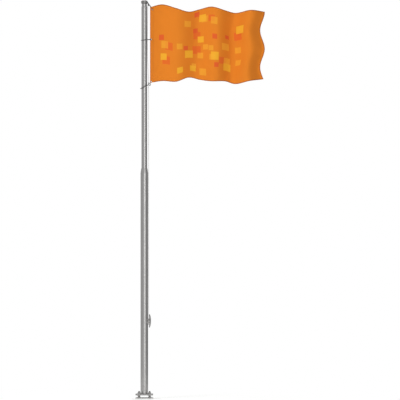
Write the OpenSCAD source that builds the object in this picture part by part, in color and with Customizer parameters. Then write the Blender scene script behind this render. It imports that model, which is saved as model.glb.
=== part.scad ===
// Flagpole with an outside halyard, standing on four anchor rods and flying a small flag.
// Millimetres, +Z up. The origin is the middle of the anchor plate's underside.
// The cleat, the halyard and the flag are on the +X side of the mast.

/* [Base] */
// Side of the square anchor plate and of the square base flange
base_w = 230; // [200:5:280]
// Thickness of the anchor plate
anchor_t = 15; // [10:1:20]
// Thickness of the base flange
flange_t = 16; // [10:1:20]
// Distance between neighbouring anchor rods
rod_spacing = 140; // [120:5:170]
// Diameter of the anchor rods
rod_d = 20; // [16:1:24]
// Bare rod between the two levelling nuts
rod_gap = 7; // [3:1:30]
// Rod standing out above the top nuts
rod_tip = 16; // [5:1:30]

/* [Mast] */
// Outer diameter of the lower tube
lower_d = 100; // [90:1:120]
// Wall of the lower tube
lower_wall = 3; // [2:0.5:5]
// Length of the lower tube
lower_len = 2916; // [2000:10:4000]
// Outer diameter of the upper tube
upper_d = 75; // [60:1:84]
// Wall of the upper tube
upper_wall = 2.5; // [2:0.5:4]
// Length of the upper tube above the reducer
upper_len = 2132; // [1800:10:3000]
// Length of the upper tube hidden inside the lower one
lap_len = 300; // [150:10:500]
// Height of the reducer's cone
reducer_h = 62; // [30:1:100]

/* [Truck] */
// Height of the neck below the turning collar
neck_h = 39; // [25:1:60]
// Diameter of the turning collar
collar_d = 87; // [80:1:110]
// Height of the turning collar
collar_h = 37; // [25:1:50]
// Height of the domed cap
dome_h = 19; // [10:1:40]
// Diameter of the pin that the collar turns on
pin_d = 24; // [16:1:30]
// Diameter of the sheave over its flanges
sheave_d = 25; // [21:1:28]
// Gap between the halyard's inner fall and the upper tube
rope_clear = 5; // [2:0.5:10]

/* [Halyard and fittings] */
// Diameter of the halyard
rope_d = 6; // [4:0.5:8]
// Wire of the two mast rings
ring_wire = 7; // [5:0.5:9]
// Tilt of the upper mast ring
mid_ring_tilt = 6; // [0:1:15]
// Tilt of the lower mast ring
low_ring_tilt = 26; // [10:1:30]
// Width of the lower snap hook over its wire
hook_w = 31; // [28:1:40]
// Height of the lower snap hook over its wire
hook_h = 40; // [36:1:60]
// Wire of the snap hooks
hook_wire = 7; // [5:0.5:8]

/* [Cleat] */
// Height of the cleat's middle above the lower tube's foot
cleat_up = 964; // [600:10:1400]
// Length of the cleat over its horns
cleat_len = 176; // [140:1:220]
// Distance between the cleat's two legs
cleat_legs = 41; // [30:1:60]
// Reach of the cleat's outer edge beyond the tube
cleat_reach = 38; // [34:1:50]

/* [Flag] */
// Height of the cloth along the luff
flag_h = 1000; // [800:10:1200]
// Reach of the rippled cloth from luff to fly
flag_run = 1506; // [1000:10:2000]
// Distance from the mast's axis to the luff
luff_x = 76; // [70:1:100]
// Width of the heading tape along the luff
heading_w = 48; // [40:1:60]
// Thickness of the heading tape
heading_t = 4; // [3:0.5:6]
// Thickness of the cloth
cloth_t = 3; // [2:0.5:4]
// Depth of the ripples at the fly
ripple = 62; // [30:2:100]

/* [Hidden] */
$fn = 64;
seat = 0.3;                     // gap between pieces that only rest on each other
turning_fit = 0.06;             // radial gap of a bore on its shaft
eps = 1;                        // overrun of a cut past the face that it opens

// fasteners, from the rod's size
nut_af = 1.5 * rod_d;
nut_r = nut_af / 2 / cos(30);
thin_nut_h = rod_d / 2;
nut_h = 0.9 * rod_d;
washer_d = 2.2 * rod_d;
washer_t = 3;
rod_hole_d = rod_d + 2;
thread_play = 0.05;
corners = [for (i = [0:3]) rod_spacing / sqrt(2) * [cos(45 + 90 * i), sin(45 + 90 * i)]];

// heights
plate_nut_z = anchor_t + washer_t;
levelling_nut_z = plate_nut_z + thin_nut_h + rod_gap;
flange_z = levelling_nut_z + thin_nut_h + washer_t;
tube_z = flange_z + flange_t;
top_nut_z = tube_z + washer_t;
rod_len = top_nut_z + nut_h + rod_tip;
reducer_z = tube_z + lower_len;
upper_z = reducer_z + reducer_h;
neck_z = upper_z + upper_len;
collar_z = neck_z + neck_h + seat;
dome_z = collar_z + collar_h;

// mast
lower_r = lower_d / 2;
upper_r = upper_d / 2;
weld_leg = 8;
reducer_fit = 0.15;             // radial gap of the reducer in and around the tubes
spigot_h = 60;
reducer_lip = 3;

// truck
collar_r = collar_d / 2;
pin_r = pin_d / 2;
plug_h = 80;
neck_r = upper_r - 4.5;
nut_recess = 8;                 // height of the space for the spindle nut in the dome
sheave_r = sheave_d / 2;
rope_r = rope_d / 2;
groove_r = sheave_r - 5;
pitch_r = groove_r + seat + rope_r;
sheave_w = rope_d + 3;
groove_w = rope_d + 1;
cheek_t = 3;
fork_slot = sheave_w + 1;
fork_w = fork_slot + 2 * cheek_t;
cheek_r = sheave_r - 1;
axle_r = 2.5;
// the sheave's middle: its inner side clears the upper tube, its rope clears the collar
sheave_x = upper_r + rope_clear + rope_r + pitch_r;
sheave_z = collar_z - pitch_r - rope_r - 3;

// flag, fixed points of the luff
luff_top = neck_z - 4;
luff_low = luff_top - flag_h;
eyelet_r = 6;                   // hole of an eyelet
eyelet_rim = 11;
eyelet_flange = 0.8;
top_eyelet = [luff_x + 30, luff_top - 31];
low_eyelet = [luff_x + 15, luff_low + 18];

// outer fall: the tangent from the sheave to the top eyelet, where the top hook lies
fall = top_eyelet - [sheave_x, sheave_z];
fall_turn = atan2(fall[1], fall[0]) + acos(pitch_r / norm(fall));
fall_start = [sheave_x, sheave_z] + pitch_r * [cos(fall_turn), sin(fall_turn)];
fall_len = norm(top_eyelet - fall_start);
fall_dir = (top_eyelet - fall_start) / fall_len;
fall_angle = acos(fall_dir[0]); // below the horizontal

// top snap hook, lengths along the outer fall
top_wire = 5.5;
swivel_ring_r = 5;
swivel_wire = 4;
barrel_d = 13;
barrel_len = 12;
hook_half = 8;
rope_end_at = 8.7;
swivel_at = rope_end_at + seat + swivel_ring_r + swivel_wire / 2;
barrel_at = swivel_at + swivel_ring_r;
bow_lag = hook_half - sqrt(pow(hook_half, 2) - pow(heading_t / 2 + eyelet_flange + seat, 2));
bow_at = fall_len - (eyelet_r - top_wire / 2 - seat) + bow_lag;

// mast rings: the upper one bears on the tube's far side and passes through the luff
ring_r_wire = ring_wire / 2;
mid_ring_far = upper_r + seat + ring_r_wire;
mid_ring_near = luff_x + 13;
ring_r = (mid_ring_far + mid_ring_near) / 2 / cos(mid_ring_tilt);
mid_ring_x = (mid_ring_near - mid_ring_far) / 2;
mid_ring_z = luff_top - 433;
mid_eyelet = [
    mid_ring_near + eyelet_r - ring_r_wire - seat,
    mid_ring_z + ring_r * sin(mid_ring_tilt)
];

// lower snap hook, hanging below the luff's foot, and the lower ring round its inner leg
hook_wire_r = hook_wire / 2;
hook_bow = hook_w / 2 - hook_wire_r;
hook_x = luff_x - 6;
hook_top = luff_low - seat;
hook_straight = hook_h - hook_w;
hook_mid_z = hook_top - hook_h / 2;
inner_leg_x = hook_x - hook_bow;
low_ring_near = inner_leg_x + hook_wire_r + seat + ring_r_wire;
low_ring_x = low_ring_near - ring_r * cos(low_ring_tilt);
low_ring_z = hook_mid_z - ring_r * sin(low_ring_tilt);

// link ring from the lower hook's upper bow to the low eyelet
link_wire = 3;
link_low = [hook_x, hook_top - hook_wire - seat - link_wire / 2];
link_high = low_eyelet - [0, eyelet_r - link_wire / 2 - seat];
link_r = norm(link_high - link_low) / 2;
link_angle = atan2(link_high[1] - link_low[1], link_high[0] - link_low[0]);

// halyard: from the hitch at the lower hook, over the sheave, to the top hook
hitch_r = 6.5;
hitch_h = 20;
hitch_y = -hook_wire_r - seat - hitch_r;
hitch_x = inner_leg_x - 1;
hitch_top = hook_top + 3;
lower_end_z = low_ring_z - ring_r * sin(low_ring_tilt) - ring_r_wire - 10;
cleat_z = tube_z + cleat_up;

// cleat
saddle_t = 4;
saddle_h = 66;
saddle_half = 58;               // half of the arc that the saddle covers, degrees
saddle_r = lower_r + seat;
post_w = 16;
horn_w = 16;
horn_mid_t = 22;
horn_tip_t = 13;
horn_sweep = 8;                 // how far the tips stand back from the middle
horn_x = lower_r + cleat_reach - horn_mid_t / 2;
screw_turn = 38;
screw_r = 2.4;
screw_head_r = 6;
screw_head_h = 3;
screw_in = 6;
belay_x = lower_r + seat + saddle_t + rope_r + 0.5;
belay_half = post_w / 2 + rope_r + 1.5;
belay_r = belay_half + rope_d + rope_r;
belay_z = cleat_legs / 2 + 10;

function unit(v) = v / norm(v);

// Smooth curve through the points [x, y] of a table, at x
function slope(t, i) =
    let (a = t[max(i - 1, 0)], b = t[min(i + 1, len(t) - 1)])
    (b[1] - a[1]) / (b[0] - a[0]);
function span(t, x, i = 0) = (i >= len(t) - 2 || x <= t[i + 1][0]) ? i : span(t, x, i + 1);
function curve(t, x) =
    let (i = span(t, x), h = t[i + 1][0] - t[i][0], u = (x - t[i][0]) / h)
    t[i][1] * (1 + 2 * u) * pow(1 - u, 2) + h * slope(t, i) * u * pow(1 - u, 2)
    + t[i + 1][1] * u * u * (3 - 2 * u) + h * slope(t, i + 1) * u * u * (u - 1);

// The flying cloth. run is the share of the way from luff to fly, up the share of the height.
// The head and the foot rise and fall by these amounts at these shares of the run.
head_line = [
    [0, 0], [0.11, 35], [0.23, -15], [0.34, -60], [0.44, -25],
    [0.54, 5], [0.66, -45], [0.75, -75], [0.88, -40], [1, -60]
];
foot_line = [
    [0, 0], [0.11, 25], [0.23, 15], [0.34, 70], [0.44, 40],
    [0.54, 20], [0.66, 20], [0.75, -15], [0.88, 25], [1, 50]
];
flat_share = heading_w / flag_run;
function fly_bend(up) = -22 + 30 * cos(360 * (up - 0.45) / 0.55);
function depth(run, up) =
    let (r = max(run - flat_share, 0), waves = 1.95 * run + run * run - 0.77)
    ripple * (1 - exp(-4.5 * r)) * sin(360 * (waves + 0.12 * (1 - up) * r));
function cloth_x(run, up) = luff_x + flag_run * run + fly_bend(up) * pow(run, 4);
function cloth_z(run, up) =
    luff_low + up * flag_h + up * curve(head_line, run) + (1 - up) * curve(foot_line, run);
cloth_cols = 40;
cloth_rows = 12;

// Frames carried along a path without twist, for a tube swept along it
function tangent(p, i) =
    unit((i < len(p) - 1 ? unit(p[i + 1] - p[i]) : [0, 0, 0])
       + (i > 0 ? unit(p[i] - p[i - 1]) : [0, 0, 0]));
function square_to(v, t) = unit(v - t * (v * t));
function normals(p, i, n) =
    let (m = square_to(n, tangent(p, i)))
    i == len(p) - 1 ? [m] : concat([m], normals(p, i + 1, m));

// A closed tube of the given radius along a path
module swept_tube(path, radius, sides = 12) {
    n = normals(path, 0, [0, 1, 0]);
    points = [
        for (i = [0:len(path) - 1], k = [0:sides - 1])
            let (a = 360 * k / sides, t = tangent(path, i))
            path[i] + radius * (cos(a) * n[i] + sin(a) * cross(t, n[i]))
    ];
    last = (len(path) - 1) * sides;
    walls = [
        for (i = [0:len(path) - 2], k = [0:sides - 1])
            let (a = i * sides + k, b = i * sides + (k + 1) % sides)
            [a, a + sides, b + sides, b]
    ];
    first_cap = [for (k = [0:sides - 1]) k];
    last_cap = [for (k = [sides - 1:-1:0]) last + k];
    polyhedron(points, concat(walls, [first_cap, last_cap]));
}

// A round wire bent into a ring in the XY plane
module wire_ring(mean_r, wire_r) {
    rotate_extrude()
        translate([mean_r, 0]) circle(wire_r);
}

// A wire loop with two straight sides along X and half-round bows, from x = 0 to x = run
module wire_loop(half, run, wire_r) {
    for (side = [-1, 1])
        translate([0, side * half, 0])
            rotate([0, 90, 0]) cylinder(r = wire_r, h = run);
    rotate([0, 0, 90])
        rotate_extrude(angle = 180) translate([half, 0]) circle(wire_r);
    translate([run, 0, 0]) rotate([0, 0, -90])
        rotate_extrude(angle = 180) translate([half, 0]) circle(wire_r);
}

// Moves to the start of the outer fall and turns +X along it, with +Z to its upper side
module along_fall(at = 0) {
    translate([fall_start[0], 0, fall_start[1]])
        rotate([0, fall_angle, 0])
            translate([at, 0, 0]) children();
}

module at_corners(z) {
    for (c = corners) translate([c[0], c[1], z]) children();
}

module drilled_square(thickness) {
    difference() {
        translate([-base_w / 2, -base_w / 2, 0]) cube([base_w, base_w, thickness]);
        at_corners(-eps) cylinder(d = rod_hole_d, h = thickness + 2 * eps);
    }
}

module hex_nut(height) {
    difference() {
        cylinder(r = nut_r, h = height, $fn = 6);
        translate([0, 0, -eps]) cylinder(d = rod_d + 2 * thread_play, h = height + 2 * eps);
    }
}

module washer() {
    difference() {
        cylinder(d = washer_d, h = washer_t);
        translate([0, 0, -eps]) cylinder(d = rod_d + 1, h = washer_t + 2 * eps);
    }
}

module anchor_plate() {
    color("gray") drilled_square(anchor_t);
}

module anchor_rod(i) {
    color("silver")
        translate([corners[i][0], corners[i][1], 0]) {
            cylinder(d = rod_d, h = rod_len - 2);
            translate([0, 0, rod_len - 2]) cylinder(d1 = rod_d, d2 = rod_d - 4, h = 2);
        }
}

module plate_washers() {
    color("silver") at_corners(anchor_t) washer();
}

module plate_nuts() {
    color("darkgray") at_corners(plate_nut_z) hex_nut(thin_nut_h);
}

module levelling_nuts() {
    color("darkgray") at_corners(levelling_nut_z) hex_nut(thin_nut_h);
}

module levelling_washers() {
    color("silver") at_corners(flange_z - washer_t) washer();
}

module base_flange() {
    color("gray") translate([0, 0, flange_z]) drilled_square(flange_t);
}

module flange_washers() {
    color("silver") at_corners(tube_z) washer();
}

module flange_nuts() {
    color("darkgray") at_corners(top_nut_z) hex_nut(nut_h);
}

// Fillet weld round the foot of the lower tube
module flange_weld() {
    color("dimgray") translate([0, 0, tube_z])
        rotate_extrude() translate([lower_r, 0])
            polygon([[0, 0], [weld_leg, 0], [weld_leg * 0.55, weld_leg * 0.55], [0, weld_leg]]);
}

module saddle_screw_holes(hole_r) {
    for (side = [-1, 1], leg = [-1, 1])
        translate([0, 0, cleat_z + leg * cleat_legs / 2])
            rotate([0, 90, side * screw_turn]) cylinder(r = hole_r, h = lower_r + 20);
}

module lower_tube() {
    color("silver") difference() {
        translate([0, 0, tube_z]) cylinder(r = lower_r, h = lower_len);
        translate([0, 0, tube_z - eps]) cylinder(r = lower_r - lower_wall, h = lower_len + 2 * eps);
        saddle_screw_holes(screw_r + thread_play);
    }
}

// Cone between the tubes, with a spigot down inside the lower one
module reducer_collar() {
    inner = upper_r + reducer_fit;
    spigot = lower_r - lower_wall - reducer_fit;
    color("darkgray") rotate_extrude()
        polygon([
            [inner, reducer_z - spigot_h], [spigot, reducer_z - spigot_h],
            [spigot, reducer_z], [lower_r, reducer_z], [lower_r, reducer_z + reducer_lip],
            [upper_r + reducer_lip, upper_z], [inner, upper_z]
        ]);
}

module upper_tube() {
    color("silver") translate([0, 0, reducer_z - lap_len])
        difference() {
            cylinder(r = upper_r, h = lap_len + reducer_h + upper_len);
            translate([0, 0, -eps])
                cylinder(r = upper_r - upper_wall, h = lap_len + reducer_h + upper_len + 2 * eps);
        }
}

// Plug in the upper tube, neck, and the pin that the collar turns on
module truck_spindle() {
    plug_r = upper_r - upper_wall - thread_play;
    color("silver") rotate_extrude()
        polygon([
            [0, neck_z - plug_h], [plug_r, neck_z - plug_h], [plug_r, neck_z],
            [upper_r, neck_z], [upper_r, neck_z + 3], [neck_r, neck_z + 6],
            [neck_r, neck_z + neck_h], [pin_r, neck_z + neck_h],
            [pin_r, dome_z + seat], [0, dome_z + seat]
        ]);
}

// Nut on the pin's end that keeps the collar down, under the dome
module spindle_nut() {
    color("darkgray") translate([0, 0, dome_z + seat])
        cylinder(r = pin_r + 4, h = nut_recess - 1 - seat, $fn = 6);
}

module swivel_collar() {
    lip = 5;
    color("dimgray") translate([0, 0, collar_z]) rotate_extrude()
        polygon([
            [pin_r + turning_fit, 0], [collar_r - lip, 0], [collar_r, lip],
            [collar_r, collar_h - 2], [collar_r - 2, collar_h], [pin_r + turning_fit, collar_h]
        ]);
}

// Domed cap seated on the collar, hollow over the spindle nut
module dome_cap() {
    rim = collar_r - 2;
    steps = 10;
    recess_r = pin_r + 6;
    color("gainsboro") translate([0, 0, dome_z]) rotate_extrude()
        polygon(concat(
            [[recess_r, 0]],
            [for (i = [0:steps]) [rim * cos(90 * i / steps), dome_h * sin(90 * i / steps)]],
            [[0, nut_recess], [recess_r, nut_recess]]
        ));
}

// Forked arm on the collar's side that carries the sheave
module truck_arm() {
    crown = [collar_r + 4, collar_z + collar_h - 6];
    shoulder = cheek_r * 0.9 * [cos(fall_turn), sin(fall_turn)];
    color("dimgray") difference() {
        union() {
            translate([sheave_x, fork_w / 2, sheave_z]) rotate([90, 0, 0])
                cylinder(r = cheek_r, h = fork_w);
            translate([0, fork_w / 2, 0]) rotate([90, 0, 0])
                linear_extrude(fork_w)
                    polygon([
                        [collar_r - 5, collar_z + 2], [collar_r - 5, crown[1]], crown,
                        [sheave_x, sheave_z] + shoulder, [sheave_x, sheave_z],
                        [sheave_x - 0.9 * cheek_r, sheave_z]
                    ]);
        }
        translate([0, 0, collar_z - 5])
            cylinder(r = collar_r + seat / 3, h = collar_h + dome_h);
        translate([0, -fork_slot / 2, sheave_z - 20])
            cube([sheave_x + 20, fork_slot, collar_z - sheave_z + 20]);
        translate([sheave_x, -fork_w, sheave_z]) rotate([-90, 0, 0])
            cylinder(r = axle_r + thread_play, h = 2 * fork_w);
    }
}

module sheave_pin() {
    color("silver") translate([sheave_x, 0, sheave_z]) rotate([90, 0, 0])
        translate([0, 0, -fork_w / 2 - 1.5]) {
            cylinder(r = axle_r, h = fork_w + 3);
            cylinder(r = axle_r + 1.5, h = 1.2);
            translate([0, 0, fork_w + 1.8]) cylinder(r = axle_r + 1.5, h = 1.2);
        }
}

module sheave() {
    bore = axle_r + turning_fit;
    color("dimgray") translate([sheave_x, 0, sheave_z]) rotate([90, 0, 0])
        rotate_extrude()
            polygon([
                [bore, -sheave_w / 2], [sheave_r, -sheave_w / 2], [sheave_r, -groove_w / 2 - 0.2],
                [groove_r, -groove_w / 2 + 0.4], [groove_r, groove_w / 2 - 0.4],
                [sheave_r, groove_w / 2 + 0.2], [sheave_r, sheave_w / 2], [bore, sheave_w / 2]
            ]);
}

halyard_upper_path = concat(
    [[hitch_x, hitch_y, hitch_top + seat]],
    [[sheave_x - pitch_r, 0, sheave_z - 4]],
    [
        for (i = [0:9])
            let (a = 180 + (fall_turn - 180) * i / 9)
            [sheave_x + pitch_r * cos(a), 0, sheave_z + pitch_r * sin(a)]
    ],
    [
        [
            fall_start[0] + rope_end_at * fall_dir[0], 0,
            fall_start[1] + rope_end_at * fall_dir[1]
        ]
    ]
);

module halyard_upper() {
    color("whitesmoke") swept_tube(halyard_upper_path, rope_r);
}

// Hitch of the halyard beside the lower snap hook, and the short stretch below it
module halyard_hitch() {
    color("whitesmoke") translate([hitch_x, hitch_y, 0]) {
        translate([0, 0, hitch_top - hitch_h]) rotate_extrude()
            polygon([
                [0, 0], [hitch_r - 2, 0], [hitch_r, 3], [hitch_r, hitch_h - 3],
                [hitch_r - 2, hitch_h], [0, hitch_h]
            ]);
        translate([0, 0, lower_end_z + seat])
            cylinder(r = rope_r, h = hitch_top - hitch_h + eps - lower_end_z);
    }
}

halyard_lower_path = [
    [hitch_x, hitch_y, lower_end_z],
    [
        belay_x, -belay_half - rope_d,
        cleat_z + belay_z + sqrt(pow(belay_r, 2) - pow(belay_r - rope_d, 2)) + seat
    ]
];

module halyard_lower() {
    color("whitesmoke") swept_tube(halyard_lower_path, rope_r);
}

// Block with round ends about both posts, lying across X
module post_loop(radius, thickness) {
    rotate([0, 90, 0])
        for (end = [-1, 1])
            translate([end * belay_z, 0, 0]) cylinder(r = radius, h = thickness);
    translate([0, -radius, -belay_z]) cube([thickness, 2 * radius, 2 * belay_z]);
}

// Two turns of the halyard about the cleat's posts, one outside the other
module halyard_belay() {
    color("whitesmoke") translate([belay_x - rope_r, 0, cleat_z]) difference() {
        post_loop(belay_r, rope_d);
        translate([-eps, 0, 0]) post_loop(belay_half - rope_r, rope_d + 2 * eps);
    }
}

module cleat_saddle() {
    outer = saddle_r + saddle_t;
    color("gray") difference() {
        translate([0, 0, cleat_z - saddle_h / 2])
            rotate([0, 0, -saddle_half]) rotate_extrude(angle = 2 * saddle_half)
                translate([saddle_r, 0]) square([saddle_t, saddle_h]);
        saddle_screw_holes(screw_r + 0.3);
    }
}

// Pan heads on the saddle, shanks through the saddle and the tube's wall
module cleat_screws() {
    head_at = saddle_r + saddle_t;
    foot_at = lower_r - lower_wall - screw_in;
    color("silver")
        for (side = [-1, 1], leg = [-1, 1])
            translate([0, 0, cleat_z + leg * cleat_legs / 2])
                rotate([0, 90, side * screw_turn]) {
                    translate([0, 0, foot_at]) cylinder(r = screw_r, h = head_at - foot_at + 1);
                    translate([0, 0, head_at + seat / 3])
                        cylinder(r1 = screw_head_r, r2 = screw_head_r - 2, h = screw_head_h);
                }
}

// Outline of the horns in the XZ plane: a bowed bar that thins towards its tips
function horn_mid(u) = horn_x - horn_sweep * u * u;
function horn_half(u) = (horn_mid_t - (horn_mid_t - horn_tip_t) * u * u) / 2;
horn_run = cleat_len / 2 - horn_tip_t / 2;
horn_steps = 8;

module horn_outline() {
    polygon(concat(
        [
            for (i = [-horn_steps:horn_steps])
                let (u = i / horn_steps) [horn_mid(u) + horn_half(u), u * horn_run]
        ],
        [
            for (i = [horn_steps:-1:-horn_steps])
                let (u = i / horn_steps) [horn_mid(u) - horn_half(u), u * horn_run]
        ]
    ));
    for (end = [-1, 1])
        translate([horn_mid(1), end * horn_run]) circle(horn_tip_t / 2);
}

module cleat_horns() {
    color("gray") translate([0, horn_w / 2, cleat_z])
        rotate([90, 0, 0]) linear_extrude(horn_w) horn_outline();
}

// The two short posts between the saddle and the horns
module cleat_posts() {
    inner = saddle_r + saddle_t;
    outer = horn_x - horn_mid_t / 2;
    color("gray") difference() {
        for (leg = [-1, 1])
            translate([inner - 4, -post_w / 2, cleat_z + leg * cleat_legs / 2 - post_w / 2])
                cube([outer - 1 - inner + 4, post_w, post_w]);
        cylinder(r = inner + thread_play, h = 2 * cleat_z);
    }
}

module top_snap_hook() {
    color("dimgray") {
        along_fall(swivel_at) rotate([90, 0, 0]) wire_ring(swivel_ring_r, swivel_wire / 2);
        along_fall(barrel_at) rotate([0, 90, 0]) cylinder(d = barrel_d, h = barrel_len);
        along_fall(barrel_at + barrel_len + hook_half - 1)
            wire_loop(hook_half, bow_at - barrel_at - barrel_len - 2 * hook_half + 1, top_wire / 2);
    }
}

module mid_ring() {
    color("dimgray") translate([mid_ring_x, 0, mid_ring_z])
        rotate([0, -mid_ring_tilt, 0]) wire_ring(ring_r, ring_r_wire);
}

module bottom_ring() {
    color("dimgray") translate([low_ring_x, 0, low_ring_z])
        rotate([0, -low_ring_tilt, 0]) wire_ring(ring_r, ring_r_wire);
}

module bottom_snap_hook() {
    color("dimgray") translate([hook_x, 0, hook_mid_z - hook_straight / 2])
        rotate([0, -90, 0]) rotate([90, 0, 0]) wire_loop(hook_bow, hook_straight, hook_wire_r);
}

module bottom_link_ring() {
    middle = (link_low + link_high) / 2;
    color("silver") translate([middle[0], 0, middle[1]])
        rotate([0, -link_angle, 0]) wire_ring(link_r, link_wire / 2);
}

eyelet_places = [top_eyelet, mid_eyelet, low_eyelet];

// Reinforced strip along the luff, which holds the eyelets
module heading_tape() {
    color("darkorange") difference() {
        translate([0, heading_t / 2, 0]) rotate([90, 0, 0]) linear_extrude(heading_t)
            polygon([
                [luff_x, luff_low], [luff_x + heading_w, cloth_z(flat_share, 0)],
                [luff_x + heading_w, cloth_z(flat_share, 1)], [luff_x, luff_top]
            ]);
        for (e = eyelet_places)
            translate([e[0], heading_t, e[1]]) rotate([90, 0, 0])
                cylinder(r = eyelet_r + 1.5, h = 2 * heading_t);
    }
}

module eyelets() {
    color("goldenrod")
        for (e = eyelet_places)
            translate([e[0], 0, e[1]]) rotate([90, 0, 0]) difference() {
                union() {
                    cylinder(r = eyelet_r + 1.4, h = heading_t + 2 * seat, center = true);
                    for (side = [-1, 1])
                        translate([0, 0, side * (heading_t / 2 + seat / 2 + eyelet_flange / 2)])
                            cylinder(r = eyelet_rim, h = eyelet_flange + seat / 3, center = true);
                }
                cylinder(r = eyelet_r, h = 3 * heading_t, center = true);
            }
}

// The rippled cloth, from the heading's edge to the fly
module flag_cloth() {
    cols = cloth_cols + 1;
    rows = cloth_rows + 1;
    sheet = [
        for (side = [-1, 1], i = [0:cloth_cols], k = [0:cloth_rows])
            let (run = flat_share + (1 - flat_share) * i / cloth_cols, up = k / cloth_rows)
            [
                i == 0 ? luff_x + heading_w : cloth_x(run, up),
                depth(run, up) + side * cloth_t / 2,
                cloth_z(run, up)
            ]
    ];
    function at(side, i, k) = side * cols * rows + i * rows + k;
    faces = concat(
        [
            for (i = [0:cloth_cols - 1], k = [0:cloth_rows - 1])
                [at(0, i, k), at(0, i, k + 1), at(0, i + 1, k + 1), at(0, i + 1, k)]
        ],
        [
            for (i = [0:cloth_cols - 1], k = [0:cloth_rows - 1])
                [at(1, i, k), at(1, i + 1, k), at(1, i + 1, k + 1), at(1, i, k + 1)]
        ],
        [
            for (i = [0:cloth_cols - 1])
                [at(0, i, 0), at(0, i + 1, 0), at(1, i + 1, 0), at(1, i, 0)]
        ],
        [
            for (i = [0:cloth_cols - 1])
                [at(0, i, cloth_rows), at(1, i, cloth_rows), at(1, i + 1, cloth_rows),
                 at(0, i + 1, cloth_rows)]
        ],
        [
            for (k = [0:cloth_rows - 1])
                [at(0, 0, k), at(1, 0, k), at(1, 0, k + 1), at(0, 0, k + 1)]
        ],
        [
            for (k = [0:cloth_rows - 1])
                [at(0, cloth_cols, k), at(0, cloth_cols, k + 1), at(1, cloth_cols, k + 1),
                 at(1, cloth_cols, k)]
        ]
    );
    color("orange") polyhedron(sheet, faces);
}

anchor_plate();
for (i = [1:4])
    anchor_rod(i - 1);
plate_washers();
plate_nuts();
levelling_nuts();
levelling_washers();
base_flange();
flange_washers();
flange_nuts();
flange_weld();
lower_tube();
reducer_collar();
upper_tube();
truck_spindle();
spindle_nut();
cleat_saddle();
cleat_screws();
cleat_posts();
cleat_horns();
halyard_lower();
halyard_belay();
swivel_collar();
dome_cap();
truck_arm();
sheave_pin();
sheave();
halyard_upper();
halyard_hitch();
top_snap_hook();
mid_ring();
bottom_ring();
bottom_snap_hook();
bottom_link_ring();
heading_tape();
eyelets();
flag_cloth();
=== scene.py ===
import math

import bpy
from mathutils import Matrix, Vector, noise


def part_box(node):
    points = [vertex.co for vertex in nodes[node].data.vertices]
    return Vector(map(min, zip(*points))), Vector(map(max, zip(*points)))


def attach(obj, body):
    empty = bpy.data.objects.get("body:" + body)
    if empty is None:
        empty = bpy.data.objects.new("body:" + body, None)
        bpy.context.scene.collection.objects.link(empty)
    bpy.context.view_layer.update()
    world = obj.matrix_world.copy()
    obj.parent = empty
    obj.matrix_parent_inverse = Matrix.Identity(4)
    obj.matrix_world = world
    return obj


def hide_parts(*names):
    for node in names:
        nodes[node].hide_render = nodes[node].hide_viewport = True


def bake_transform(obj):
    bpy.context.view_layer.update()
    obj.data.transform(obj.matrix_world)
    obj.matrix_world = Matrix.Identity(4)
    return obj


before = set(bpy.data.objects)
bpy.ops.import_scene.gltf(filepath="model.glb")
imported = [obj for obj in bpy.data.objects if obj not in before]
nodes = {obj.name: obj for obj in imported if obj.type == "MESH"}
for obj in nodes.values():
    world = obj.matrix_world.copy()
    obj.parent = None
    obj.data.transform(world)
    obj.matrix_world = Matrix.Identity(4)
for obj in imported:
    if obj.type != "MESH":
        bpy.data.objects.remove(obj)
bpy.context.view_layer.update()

mm = 0.001               # pieces are drawn in millimetres; finishes and the studio are in metres
turn = 2 * math.pi

scene = bpy.context.scene
scene.view_settings.view_transform = "Standard"


class Value:
    # a node's output that can be added, multiplied and so on: each operator adds a Math node
    def __init__(self, pad, socket):
        self.pad, self.socket = pad, socket

    def maths(self, operation, *others):
        return self.pad.node("ShaderNodeMath", {"operation": operation}, self, *others)

    def __add__(self, other):
        return self.maths("ADD", other)

    def __sub__(self, other):
        return self.maths("SUBTRACT", other)

    def __rsub__(self, other):
        return self.pad.node("ShaderNodeMath", {"operation": "SUBTRACT"}, other, self)

    def __mul__(self, other):
        return self.maths("MULTIPLY", other)

    def __truediv__(self, other):
        return self.maths("DIVIDE", other)

    __radd__ = __add__
    __rmul__ = __mul__

    def sine(self):
        return self.maths("SINE")

    def size(self):
        return self.maths("ABSOLUTE")

    def floor(self):
        return self.maths("FLOOR")

    def most(self, other):
        return self.maths("MAXIMUM", other)

    def step(self, low, high):
        # 0 below low, 1 above high, smooth between; turned round if low is the larger
        first, last = (0.0, 1.0) if low < high else (1.0, 0.0)
        return self.pad.node("ShaderNodeMapRange", {"interpolation_type": "SMOOTHSTEP"}, self,
                             min(low, high), max(low, high), first, last)


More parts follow.
